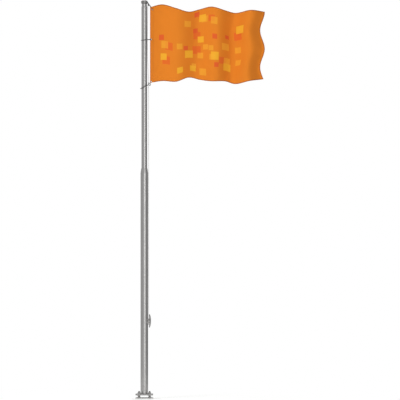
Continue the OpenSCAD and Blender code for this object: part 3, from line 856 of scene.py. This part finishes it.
placed(turnedCollar(), "flag", "dark_metal", "swivel_collar", look=collarCoat)
placed(domeCap(), "flag", "cap_aluminium", "dome_cap")
fork = {"middle": (56.3, 5196.5), "cheek": 11.5, "wide": 16.0, "slot": 10.0, "axle": 2.55,
        "root": (42.4, 5215.3), "crown": (46.2, 5238.0), "collar": 43.6, "lean": 33.0, "edge": 0.8}


def sheaveFork():
    # an arm from the collar that widens to two round cheeks, slotted for the wheel
    (sx, sz), cheek, wide = fork["middle"], fork["cheek"], fork["wide"]
    outline = [fork["root"], (fork["root"][0], fork["crown"][1]), fork["crown"]]
    for i in range(33):
        a = math.radians(fork["lean"] - (180 + fork["lean"]) * i / 32)
        outline.append((sx + cheek * math.cos(a), sz + cheek * math.sin(a)))
    arm = drawn("sheaveFork", outline)
    bpy.ops.mesh.edge_face_add()
    bpy.ops.transform.translate(value=point(0, -wide / 2, 0))
    bpy.ops.mesh.extrude_region_move(TRANSFORM_OT_translate={"value": point(0, wide, 0)})
    sealed()
    top = fork["root"][1] - 2
    cut(arm, bar(fork["collar"], 60, 96, (0, 0, top + 25)))
    cut(arm, added(bpy.ops.mesh.primitive_cube_add, size=1, location=point(sx, 0, top - 25),
                   scale=point(80, fork["slot"], 50)))
    hole = bar(fork["axle"], 40)
    hole.data.transform(crosswise(sx, sz))
    return edged(cut(arm, hole), fork["edge"])


placed(sheaveFork(), "flag", "dark_metal", "truck_arm")
placed(softened("sheave_pin", "sheavePin", 0.3, 2), "flag", "zinc_steel", "sheave_pin")
placed(softened("sheave", "sheaveWheel", 0.35, 2), "sheave", "sheave_plastic", "sheave")
print("truck made")

# the halyard's and the flag's fixed points, as they were built
rig = {"sheave": (56.3, 5196.5), "pitch": 10.8, "rope": 3.0, "topEyelet": (106.0, 5139.0),
       "lowEyelet": (91.0, 4188.0), "midEyelet": (91.2, 4743.85), "hitch": (57.0, -10.3, 4172.7),
       "belayX": 57.8, "belayZ": 30.5, "belayHalf": 12.5, "ropeEnd": 8.7, "tailTurn": 12.6}
eyeletPlaces = [rig[key] for key in ("topEyelet", "midEyelet", "lowEyelet")]
sheaveX, sheaveZ = rig["sheave"]
fallX, fallZ = rig["topEyelet"][0] - sheaveX, rig["topEyelet"][1] - sheaveZ
fallTurn = math.atan2(fallZ, fallX) + math.acos(rig["pitch"] / math.hypot(fallX, fallZ))


def onSheave(a):
    return point(sheaveX + rig["pitch"] * math.cos(a), 0, sheaveZ + rig["pitch"] * math.sin(a))


# the fall runs from the sheave straight to the flag's upper eyelet
fallStart, fallEnd = onSheave(fallTurn), point(rig["topEyelet"][0], 0, rig["topEyelet"][1])
alongFall = (fallEnd - fallStart).normalized()
braid = {"gap": 1.3, "sides": 18, "families": 3, "pitch": 23.0, "depth": 0.13}


def eased(a, b, leaving, arriving, t):
    # a cubic from a to b that leaves and arrives at the given slopes
    return (a * (1 + 2 * t) * (1 - t) ** 2 + leaving * t * (1 - t) ** 2
            + b * t * t * (3 - 2 * t) + arriving * t * t * (t - 1))


def smoothPath(points, gap):
    # evenly spaced points on a soft curve through the given ones
    fine, last, gap = [], len(points) - 1, gap * mm
    spans = [(b - a).length for a, b in zip(points, points[1:])]
    ways = [(b - a) / span for a, b, span in zip(points, points[1:], spans)]
    heads = [ways[0]]
    for i in range(1, last):
        heads.append((ways[i - 1] * spans[i] + ways[i] * spans[i - 1]) / (spans[i - 1] + spans[i]))
    heads.append(ways[-1])
    for i in range(last):
        a, b, span = points[i], points[i + 1], spans[i]
        count = max(4, int(span / gap))
        fine += [eased(a, b, heads[i] * span, heads[i + 1] * span, k / count)
                 for k in range(count)]
    fine.append(points[-1])
    out, left = [fine[0]], gap
    for a, b in zip(fine, fine[1:]):
        step = (b - a).length
        while step >= left:
            a = a + (b - a).normalized() * left
            out.append(a)
            step -= left
            left = gap
        left -= step
    return out


def ropeAlong(name, path, radius):
    # plaited rope: two families of strands, one over and one under by turns
    sides, families, gap = braid["sides"], braid["families"], braid["gap"] * mm
    across = Vector((0, 1, 0))
    verts, uvs, hollow, far = [], [], [], 0.0
    for i, here in enumerate(path):
        way = (path[min(i + 1, len(path) - 1)] - path[max(i - 1, 0)]).normalized()
        across = (across - way * across.dot(way)).normalized()
        other = way.cross(across)
        if i:
            far += (here - path[i - 1]).length
        spin = turn * far / (braid["pitch"] * mm)
        for k in range(sides):
            a = turn * k / sides
            left, right = families * (a + spin), families * (a - spin)
            over = 0.5 + 0.5 * math.sin(left) * math.sin(right)
            high = max(abs(math.cos(left / 2)) * (0.82 + 0.18 * over),
                       abs(math.cos(right / 2)) * (1.0 - 0.18 * over))
            reach = radius * mm * (1 - braid["depth"] * (1 - high))
            verts.append(here + (across * math.cos(a) + other * math.sin(a)) * reach)
            uvs.append((i * gap, k / sides))
            # how far down between the strands each point lies, for the painted shade there
            hollow.append(min(1.0, (1 - high) * 1.8))
    obj = skinned(name, verts, sides)
    layFlat(obj, "lay", uvs)
    obj.data.attributes.new("hollow", "FLOAT", "POINT").data.foreach_set("value", hollow)
    return settled(obj, 60)


def arcAbout(x, middleY, middleZ, radius, start, end, steps, grow=0.0):
    # points in a plane across X, turning from the start to the end angle
    out = []
    for i in range(steps + 1):
        a = math.radians(start + (end - start) * i / steps)
        r = radius + grow * i / steps
        out.append(point(x, middleY + r * math.cos(a), middleZ + r * math.sin(a)))
    return out


hitchFoot = point(*rig["hitch"][:2], rig["hitch"][2] - 9.5)
sheaveBack = sheaveX - rig["pitch"]
upperRoute = [hitchFoot, point(sheaveBack - 5.5, -5.0, 4700), point(sheaveBack - 0.3, -0.6, 5120),
              point(sheaveBack, 0, sheaveZ - 5)]
upperRoute += [onSheave(math.pi + (fallTurn - math.pi) * i / 11) for i in range(12)]
upperRoute.append(fallStart + alongFall * rig["ropeEnd"] * mm)
upperPath = smoothPath(upperRoute, braid["gap"])
halyardUpper = ropeAlong("halyardUpper", upperPath, rig["rope"])
placed(halyardUpper, "flag", "rope", "halyard_upper")

# down beside the mast, two turns on the cleat, and a tail
belayX, inner, tailTurn = rig["belayX"], rig["belayHalf"], rig["tailTurn"]
middleZ, lowBend = cleat["middle"], cleat["middle"] - rig["belayZ"]
highBend, outer = middleZ + rig["belayZ"], inner + 2 * rig["rope"] + 0.2
lowerRoute = [hitchFoot, point(57.0, -10.4, 4080), point(57.2, -12.6, 3200),
              point(57.5, -15.5, 2100), point(belayX, -outer, 1100),
              point(belayX, -outer, highBend)]
lowerRoute += arcAbout(belayX, 0, lowBend, outer, 180, 360, 12)
lowerRoute += arcAbout(belayX, 0, highBend, outer - 0.4, 0, 180, 12, -5.8)
lowerRoute += arcAbout(belayX, 0, lowBend, inner, 180, 360, 10)
lowerRoute.append(point(belayX + 0.6, inner, middleZ - 14))
# the tail turns back over the outer turn and hangs down
for i, lift in enumerate((2.6, 5.6, 6.8, 6.0, 3.8, 1.6, 0.2)):
    a = math.radians(180 - 30 * i)
    lowerRoute.append(point(belayX + lift, inner + tailTurn * (1 + math.cos(a)),
                            middleZ + 2 + tailTurn * math.sin(a)))
for out, aside, down in ((0.8, 25.4, 16), (1.2, 25.0, 34), (1.4, 24.0, 54)):
    lowerRoute.append(point(belayX - out, inner + aside, middleZ - down))
lowerPath = smoothPath(lowerRoute, braid["gap"])
halyardLower = ropeAlong("halyardLower", lowerPath, rig["rope"])
halyardLower.data.materials.append(finishes["rope"])
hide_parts("halyard_lower", "halyard_belay")
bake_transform(halyardLower)

seizing = {"turns": 6, "pitch": 2.75, "cord": 1.3, "leg": (58.0, 0.0, 3.5), "below": 1.2}
whipping = {"turns": 7, "pitch": 1.35, "cord": 0.62, "fromEnd": 3.0, "topTurns": 4,
            "topFromEnd": 0.6, "eyeAt": 10.3, "eyeRadius": 3.5, "eyeCord": 1.1}


def seizedHitch():
    # thin cord wound tight round the rope and the lower hook's leg, which it holds together
    x, y, z = rig["hitch"]
    legX, legY, legRadius = seizing["leg"]
    low = z - seizing["below"] - seizing["turns"] * seizing["pitch"]
    route, steps = [], 16
    for i in range(seizing["turns"] * steps + 1):
        a = turn * i / steps
        cx, cy, r = (x, y, rig["rope"]) if math.sin(a) < 0 else (legX, legY, legRadius)
        r += seizing["cord"]
        route.append(point(cx + r * math.cos(a), cy + r * math.sin(a),
                           low + seizing["pitch"] * i / steps))
    return smoothPath(route, 0.9)


def whippedEnd(path, turns, fromEnd):
    # twine wound round a rope's end, so that it can't fray
    way = (path[-1] - path[-4]).normalized()
    one = way.cross(Vector((0, 1, 0))).normalized()
    two = way.cross(one)
    foot = path[-1] - way * fromEnd * mm
    route, steps = [], 14
    for i in range(turns * steps + 1):
        a = turn * i / steps
        route.append(foot + (one * math.cos(a) + two * math.sin(a)) * (rig["rope"] + 0.35) * mm
                     - way * whipping["pitch"] * mm * i / steps)
    return smoothPath(route, 0.7)


def topEye():
    # a closed twine eye from the rope's end round the swivel ring's wire
    middle = fallStart + alongFall * whipping["eyeAt"] * mm
    round28 = [turn * i / 28 for i in range(29)]
    return smoothPath([middle + (alongFall * math.cos(a) + Vector((0, math.sin(a), 0)))
                       * whipping["eyeRadius"] * mm for a in round28], 0.8)


hitch = ropeAlong("halyardHitch", seizedHitch(), seizing["cord"])
placed(hitch, "flag", "rope", "halyard_hitch", look=twine)
tail = ropeAlong("tailWhipping", whippedEnd(lowerPath, whipping["turns"], whipping["fromEnd"]),
                 whipping["cord"])
placed(tail, "mast", "rope")
topTurns = ropeAlong("topWhipping", whippedEnd(upperPath, whipping["topTurns"],
                                               whipping["topFromEnd"]), whipping["cord"])
topEnd = joined("halyardEye", [topTurns, ropeAlong("topEye", topEye(), whipping["eyeCord"])])
placed(topEnd, "flag", "rope", look=twine)
print("halyard made")

hook = {"ringHalf": 5.0, "ringWire": 2.0, "ringAt": 16.0, "barrelAt": 21.0, "barrelLong": 12.0,
        "barrelRadius": 6.5, "bowHalf": 8.0, "bowWire": 2.75, "bowFrom": 40.0, "bowTo": 76.0,
        "gateWire": 2.1, "lowHalf": 12.0, "lowWire": 3.5, "lowGate": 2.6, "lowStraight": 9.0,
        "lowAt": (70.0, 4149.7)}


def wireLoop(half, run, wire, steps=20):
    # a round wire: one straight side at y = -half and a half-round bow at each end of the run;
    # spin turns clockwise for a positive angle
    loop = added(bpy.ops.mesh.primitive_circle_add, vertices=20, radius=wire * mm,
                 location=point(0, half, 0), rotation=(0, math.pi / 2, 0))
    bpy.ops.object.transform_apply(location=True, rotation=True)
    edit(loop)
    bpy.ops.mesh.spin(steps=steps, angle=-math.pi, center=(0, 0, 0), axis=(0, 0, 1))
    bpy.ops.mesh.extrude_region_move(TRANSFORM_OT_translate={"value": point(run, 0, 0)})
    bpy.ops.mesh.spin(steps=steps, angle=-math.pi, center=point(run, 0, 0), axis=(0, 0, 1))
    sealed(24)
    return loop


def gateBar(run, r, half):
    # the sprung gate on the open side: ball ends, a waist, and a thumb stud
    e, waist = r * 0.5, r * 0.86
    pin = lathe("gate", [
        (0, -e), (r * 0.6, -e * 0.8), (r, 0), (r, run * 0.36), (waist, run * 0.40),
        (waist, run * 0.60), (r, run * 0.64), (r, run), (r * 0.6, run + e * 0.8), (0, run + e)], 20)
    stud = lathe("stud", [(0, 0), (r * 0.62, 0), (r * 0.62, r * 1.7), (r * 0.95, r * 1.9),
                          (r * 0.95, r * 2.3), (r * 0.6, r * 2.6), (0, r * 2.6)], 16)
    stud.data.transform(shift(0, 0, run * 0.5) @ turned(90, "Y"))
    pin = joined("gate", [pin, stud])
    pin.data.transform(shift(0, half, 0) @ turned(90, "Y") @ turned(90, "Z"))
    return pin


def snapHook():
    # swivel ring, turned barrel and sprung bow, lying along the outer fall
    ring = added(bpy.ops.mesh.primitive_torus_add, major_radius=hook["ringHalf"] * mm,
                 minor_radius=hook["ringWire"] * mm, major_segments=40, minor_segments=16,
                 location=point(hook["ringAt"], 0, 0), rotation=(math.pi / 2, 0, 0))
    r, n = hook["barrelRadius"], hook["barrelLong"]
    barrel = lathe("barrel", [
        (0, -1.6), (2.6, -1.6), (3.4, 0), (r - 1, 0), (r, 1), (r, n * 0.36), (r - 0.8, n * 0.42),
        (r - 0.8, n * 0.50), (r, n * 0.56), (r, n - 1.4), (r - 1.4, n), (0, n)], 40)
    barrel.data.transform(shift(hook["barrelAt"], 0, 0) @ turned(90, "Y"))
    run = hook["bowTo"] - hook["bowHalf"] - hook["bowFrom"]
    bow = wireLoop(hook["bowHalf"], run, hook["bowWire"])
    gate = gateBar(run, hook["gateWire"], hook["bowHalf"])
    for each in (bow, gate):
        each.data.transform(shift(hook["bowFrom"], 0, 0))
    whole = settled(joined("topSnapHook", [bow, gate, barrel, ring]), 40)
    whole.data.transform(Matrix.Translation(fallStart)
                         @ Matrix.Rotation(math.acos(alongFall.x), 4, "Y"))
    return whole


def lowHook():
    # its run stands up along Z, with the gate on the flag's side
    run, half = hook["lowStraight"], hook["lowHalf"]
    body = wireLoop(half, run, hook["lowWire"], 24)
    whole = settled(joined("lowSnapHook", [body, gateBar(run, hook["lowGate"], half)]), 40)
    upright = Matrix(((0, 1, 0, 0), (0, 0, 1, 0), (1, 0, 0, 0), (0, 0, 0, 1)))
    whole.data.transform(shift(hook["lowAt"][0], 0, hook["lowAt"][1] - run / 2) @ upright)
    return whole


placed(snapHook(), "flag", "dark_metal", "top_snap_hook")
placed(lowHook(), "flag", "dark_metal", "bottom_snap_hook")
for node, name in (("mid_ring", "upperMastRing"), ("bottom_ring", "lowerMastRing"),
                   ("bottom_link_ring", "linkRing")):
    placed(softened(node, name, 0.05, 1, 80), "flag", "dark_metal", node)
print("hooks and rings made")

cloth = {
    "luffX": 76.0, "low": 4170.0, "high": 1000.0, "run": 1506.0, "heading": 48.0, "ripple": 62.0,
    "thick": 0.9, "across": 236, "up": 150, "flatWide": 1.6,
    # rise of the head and the foot over a straight edge, by share of the run
    "head": [(0, 0), (0.11, 35), (0.23, -15), (0.34, -60), (0.44, -25), (0.54, 5), (0.66, -45),
             (0.75, -75), (0.88, -40), (1, -60)],
    "foot": [(0, 0), (0.11, 25), (0.23, 15), (0.34, 70), (0.44, 40), (0.54, 20), (0.66, 20),
             (0.75, -15), (0.88, 25), (1, 50)],
}
flatShare = cloth["heading"] / cloth["run"]


def slopeAt(table, i):
    a, b = table[max(i - 1, 0)], table[min(i + 1, len(table) - 1)]
    return (b[1] - a[1]) / (b[0] - a[0])


def curveAt(table, x):
    i = 0
    while i < len(table) - 2 and x > table[i + 1][0]:
        i += 1
    (xa, a), (xb, b) = table[i:i + 2]
    wide = xb - xa
    return eased(a, b, wide * slopeAt(table, i), wide * slopeAt(table, i + 1), (x - xa) / wide)


def wrinkle(run, up):
    # small folds that the big ripple doesn't have: pulls at the two luff corners, and flutter
    free = min(1.0, max(0.0, (run - flatShare) / 0.06))
    out = 0.0
    for cornerUp, sign in ((1.0, 1), (0.0, -1)):
        du, dv = run * 1.5, up - cornerUp
        out += (4.5 * math.exp(-math.hypot(du, dv) / 0.26)
                * math.sin(11 * math.atan2(dv, du) * sign + 0.7))
    out += 5.0 * noise.noise(Vector((run * 5.5, up * 3.2, 1.7)))
    out += 2.2 * noise.noise(Vector((run * 15.0, up * 6.0, 8.3))) * (0.4 + run)
    out += 3.0 * run ** 6 * math.sin(26 * up + 7 * run)
    return free * out


def clothPoint(run, up):
    # a point of the hung flag, by its share of the run and of the height
    r = max(run - flatShare, 0)
    waves = 1.95 * run + run * run - 0.77 + 0.12 * (1 - up) * r
    bend = -22 + 30 * math.cos(turn * (up - 0.45) / 0.55)
    return point(
        cloth["luffX"] + cloth["run"] * run + bend * run ** 4,
        cloth["ripple"] * (1 - math.exp(-4.5 * r)) * math.sin(turn * waves) + wrinkle(run, up),
        cloth["low"] + up * cloth["high"] + up * curveAt(cloth["head"], run)
        + (1 - up) * curveAt(cloth["foot"], run))


def clothNormal(run, up):
    e = 0.002
    along = clothPoint(min(run + e, 1), up) - clothPoint(max(run - e, 0), up)
    upward = clothPoint(run, min(up + e, 1)) - clothPoint(run, max(up - e, 0))
    return along.cross(upward).normalized()


def clothGrid(name, runs, ups, thick):
    # a net of cloth over the given shares of the run and the height, given its thickness
    acrossCount, upCount = len(runs) - 1, len(ups) - 1
    net = added(bpy.ops.mesh.primitive_grid_add, x_subdivisions=acrossCount,
                y_subdivisions=upCount, size=1)
    named(name)
    uvs = []
    for vertex in net.data.vertices:
        run = runs[round((vertex.co.x + 0.5) * acrossCount)]
        up = ups[round((vertex.co.y + 0.5) * upCount)]
        uvs.append((run * cloth["flatWide"], up * cloth["high"] * mm))
        vertex.co = clothPoint(run, up)
    while net.data.uv_layers:
        net.data.uv_layers.remove(net.data.uv_layers[0])
    layFlat(net, "flat", uvs)
    wall = net.modifiers.new("cloth", "SOLIDIFY")
    wall.thickness = thick * mm
    wall.offset = 0
    wall.use_even_offset = False
    return settled(applied(net), 70)


def shares(low, high, count):
    return [low + (high - low) * i / count for i in range(count + 1)]


flag = clothGrid("flagCloth", shares(flatShare * 0.7, 1.0, cloth["across"]),
                 shares(0, 1, cloth["up"]), cloth["thick"])
placed(flag, "flag", "flag_fabric", "flag_cloth")
print("cloth made")

hem = {"wide": 0.011, "over": 0.0008, "thick": 2.4, "flyThick": 2.9}   # wide, over: share of height
wideRun, wideUp, past = hem["wide"] / 1.5, hem["wide"], hem["over"]
hemRuns = shares(flatShare, 1.0, 220)
hemPiece = joined("flagHems", [
    clothGrid("headHem", hemRuns, shares(1 - wideUp, 1 + past, 3), hem["thick"]),
    clothGrid("footHem", hemRuns, shares(-past, wideUp, 3), hem["thick"]),
    clothGrid("flyHem", shares(1 - wideRun, 1 + past / 2, 3), shares(-past, 1 + past, 150),
              hem["flyThick"]),
])
placed(hemPiece, "flag", "heading_fabric")

tape = {"half": 1.95, "lip": 0.9, "rows": 150, "pucker": 0.22, "holeRadius": 7.0}


def headingTape():
    # the luff's folded tape: a rounded outer edge, a flat body, and a thin inner lip
    x0, x1, half = cloth["luffX"], cloth["luffX"] + cloth["heading"], tape["half"]
    side = [(x0, 0.0), (x0 + 0.25, 0.9), (x0 + 1.0, 1.6), (x0 + 2.2, half)]
    side += [(x0 + 3.4 + i * 4.1, half - 0.12 * (i % 2)) for i in range(10)]
    side += [(x1 - 1.4, half), (x1 - 0.5, half - 0.3), (x1, tape["lip"])]
    section = side + [(x, -y) for x, y in reversed(side[1:])]
    verts, uvs = [], []
    for row in range(tape["rows"] + 1):
        up = row / tape["rows"]
        for x, y in section:
            run = (x - x0) / cloth["run"]
            # puckered along the inner seam
            pucker = tape["pucker"] * math.sin(up * 520) * math.exp(-((x - x0 - 42) / 5) ** 2)
            thick = (y + math.copysign(pucker, y) if y else 0) * mm
            verts.append(Vector((x * mm, thick, clothPoint(run, up).z)))
            uvs.append((run * cloth["flatWide"], up))
    obj = skinned("flagHeading", verts, len(section))
    layFlat(obj, "flat", uvs)
    for x, z in eyeletPlaces:
        hole = bar(tape["holeRadius"], 20, 40)
        hole.data.transform(crosswise(x, z))
        cut(obj, hole)
    return settled(obj, 35)


heading = headingTape()
placed(heading, "flag", "heading_fabric", "heading_tape", look=luffFabric())

grommet = {"bore": 6.0, "rim": 11.0, "out": 3.1, "lap": 2.1}


def rolledEyelet():
    b, r, o, l = (grommet[key] for key in ("bore", "rim", "out", "lap"))
    half = [(b, 0), (b, l), (b + 0.35, o - 0.35), (b + 1.2, o), (b + 2.4, o - 0.15),
            (r - 0.9, l + 0.55), (r, l + 0.35), (r, l), (b + 1.3, l)]
    return settled(lathe("eyelet", half + [(x, -z) for x, z in reversed(half)], 44), 30)


one = rolledEyelet()
eyelets = joined("luffEyelets", [copyOf(one, crosswise(x, z)) for x, z in eyeletPlaces])
scrap(one)
placed(eyelets, "flag", "eyelet_brass", "eyelets")

stitch = {"long": 3.4, "thick": 0.55, "inner": 0.76, "luffRows": (4.0, 42.0, 45.0),
          "clear": 12.5}


def stitchRows():
    # one short stitch, copied along each row on both faces of the hems and the heading
    inner, rows = stitch["inner"], []
    for up in (1 - wideUp * inner, wideUp * inner):
        rows.append(([(run, up) for run in shares(flatShare + 0.004, 0.994, 306)], hem["thick"]))
    rows.append(([(1 - wideRun * inner, up) for up in shares(0.006, 0.994, 196)], hem["flyThick"]))
    for x in stitch["luffRows"]:
        rows.append(([(x / cloth["run"], up) for up in shares(0.004, 0.996, 204)],
                     2 * tape["half"]))
    verts, faces = [], []
    for line, thick in rows:
        for (runA, upA), (runB, upB) in zip(line, line[1:]):
            a, b = clothPoint(runA, upA), clothPoint(runB, upB)
            out = clothNormal(runA, upA)
            if runA < flatShare:
                a.y = b.y = 0.0
                out = Vector((0, -1, 0))
                if min((a - point(x, 0, z)).length for x, z in eyeletPlaces) < stitch["clear"] * mm:
                    continue
            way = (b - a).normalized()
            wide = way.cross(out).normalized() * stitch["thick"] / 2 * mm
            half = way * stitch["long"] / 2 * mm
            for side in (-1, 1):
                foot = (a + b) / 2 + out * side * thick / 2 * mm
                tall = out * side * stitch["thick"] * 0.6 * mm
                n = len(verts)
                verts += [foot - half, foot + wide - half * 0.5, foot - wide - half * 0.5,
                          foot + tall - half * 0.45, foot + wide + half * 0.5,
                          foot - wide + half * 0.5, foot + tall + half * 0.45, foot + half]
                faces += [tuple(n + k for k in face) for face in (
                    (0, 1, 3), (0, 3, 2), (1, 4, 6, 3), (3, 6, 5, 2), (4, 7, 6), (6, 7, 5),
                    (0, 2, 1), (1, 2, 5, 4), (4, 5, 7))]
    return settled(meshOf("flagStitching", verts, faces), 60)


stitching = stitchRows()
placed(stitching, "flag", "heading_fabric", look=thread)
for each in (flag, hemPiece, heading, stitching):
    each.visible_glossy = False   # the dull tube doesn't mirror the flag


def runLength(path):
    return sum((b - a).length for a, b in zip(path, path[1:]))


for rope, path, ends in ((halyardUpper, upperPath, [hitch, topEnd]),
                         (halyardLower, lowerPath, [tail])):
    round(runLength(path), 3)
print("flag made")

studio = {
    "middle": (0.735, 0.0, 2.6235), "wide": 5.28, "away": 60.0, "film": 36.0, "clip": 300.0,
    "floor": 60.0, "floorTone": (0.84, 0.84, 0.83, 1.0), "lift": 0.36, "fade": (0.8, 2.6),
    "sky": (0.98, 0.99, 1.0, 1.0), "skyStrength": 0.47,
    "cardAway": 2300.0, "cardFoot": -500.0, "cardTop": 6500.0,   # millimetres
    "cards": {   # from and to angle, grey level
        "studioCardLeft": (-184, -17, 0.60), "studioCardEdge": (37, 50, 0.72),
        "studioCardNear": (50, 62, 0.44), "studioCardRight": (62, 176, 0.33),
    },
    "lamps": {   # place, aim, width, height, watts, whether metal mirrors it
        "keyLight": ((-5.5, -7.0, 5.5), (0.5, 0, 3.2), 2.6, 5.0, 415, False),
        "stripLight": ((2.9, -11.7, 3.2), (0.3, 0, 2.8), 1.7, 9.0, 120, True),
        "fillLight": ((2.9, -1.7, 4.7), (1.5, 0, 4.65), 1.0, 1.2, 9, False),
        "backLight": ((2.5, 8.0, 6.0), (0.5, 0, 3.0), 3.0, 4.0, 220, False),
    },
}


def studioWorld():
    # a soft sky that lights the object, and plain white where it is seen
    pad = Pad("studio", "worlds")
    sky = pad.node("ShaderNodeBackground", None, studio["sky"], studio["skyStrength"])
    white = pad.node("ShaderNodeBackground", None, grey(1.0), 1.0)
    return pad.end(pad.node("ShaderNodeMixShader", None, pad.background(), sky, white),
                   "ShaderNodeOutputWorld")


def floorFinish():
    # pale floor that keeps the shadow near the pole and runs out to plain white
    pad = Pad("floor")
    matt = pad.node("ShaderNodeBsdfDiffuse", None, Color=studio["floorTone"])
    glow, lift = (pad.node("ShaderNodeEmission", None, grey(1.0), strength)
                  for strength in (1.0, studio["lift"]))
    near = pad.node("ShaderNodeMixShader", None, pad.fromAxis().step(*studio["fade"]),
                    pad.node("ShaderNodeAddShader", None, matt, lift), glow)
    return pad.end(pad.node("ShaderNodeMixShader", None, pad.background(), matt, near))


def card(name, start, end, level):
    # a grey wall off to one side that only shows as the dark band along a tube
    away = studio["cardAway"]
    wall = drawn(name, [(away, studio["cardFoot"]), (away, studio["cardTop"])])
    bpy.ops.mesh.spin(steps=36, angle=math.radians(start - end), center=(0, 0, 0), axis=(0, 0, 1))
    done()
    wall.data.transform(turned(start - 90, "Z"))
    pad = Pad(name)
    wall.data.materials.append(pad.end(pad.node("ShaderNodeEmission", None, grey(level), 1.0)))
    wall.visible_camera = wall.visible_diffuse = wall.visible_shadow = False
    wall.visible_transmission = False


def softBox(name, at, aim, wide, high, watts, mirrored):
    data = bpy.data.lights.new(name, "AREA")
    data.shape = "RECTANGLE"
    data.size, data.size_y = wide, high
    data.energy = watts
    lamp = bpy.data.objects.new(name, data)
    lamp.location = at
    lamp.rotation_euler = (Vector(aim) - Vector(at)).to_track_quat("-Z", "Y").to_euler()
    lamp.visible_camera = False
    lamp.visible_glossy = mirrored
    scene.collection.objects.link(lamp)


scene.world = studioWorld()
floor = added(bpy.ops.mesh.primitive_circle_add, vertices=96, radius=studio["floor"],
              fill_type="NGON")
named("studioFloor").data.materials.append(floorFinish())
for name, settings in studio["cards"].items():
    card(name, *settings)
for name, settings in studio["lamps"].items():
    softBox(name, *settings)

camera = bpy.data.objects.new("camera", bpy.data.cameras.new("camera"))
scene.collection.objects.link(camera)
cx, cy, cz = studio["middle"]
camera.location = (cx, cy - studio["away"], cz)
camera.rotation_euler = (math.pi / 2, 0, 0)
camera.data.sensor_width = studio["film"]
camera.data.lens = studio["film"] * studio["away"] / studio["wide"]
camera.data.clip_end = studio["clip"]
scene.camera = camera
print("studio made")

bpy.ops.object.select_all(action="DESELECT")
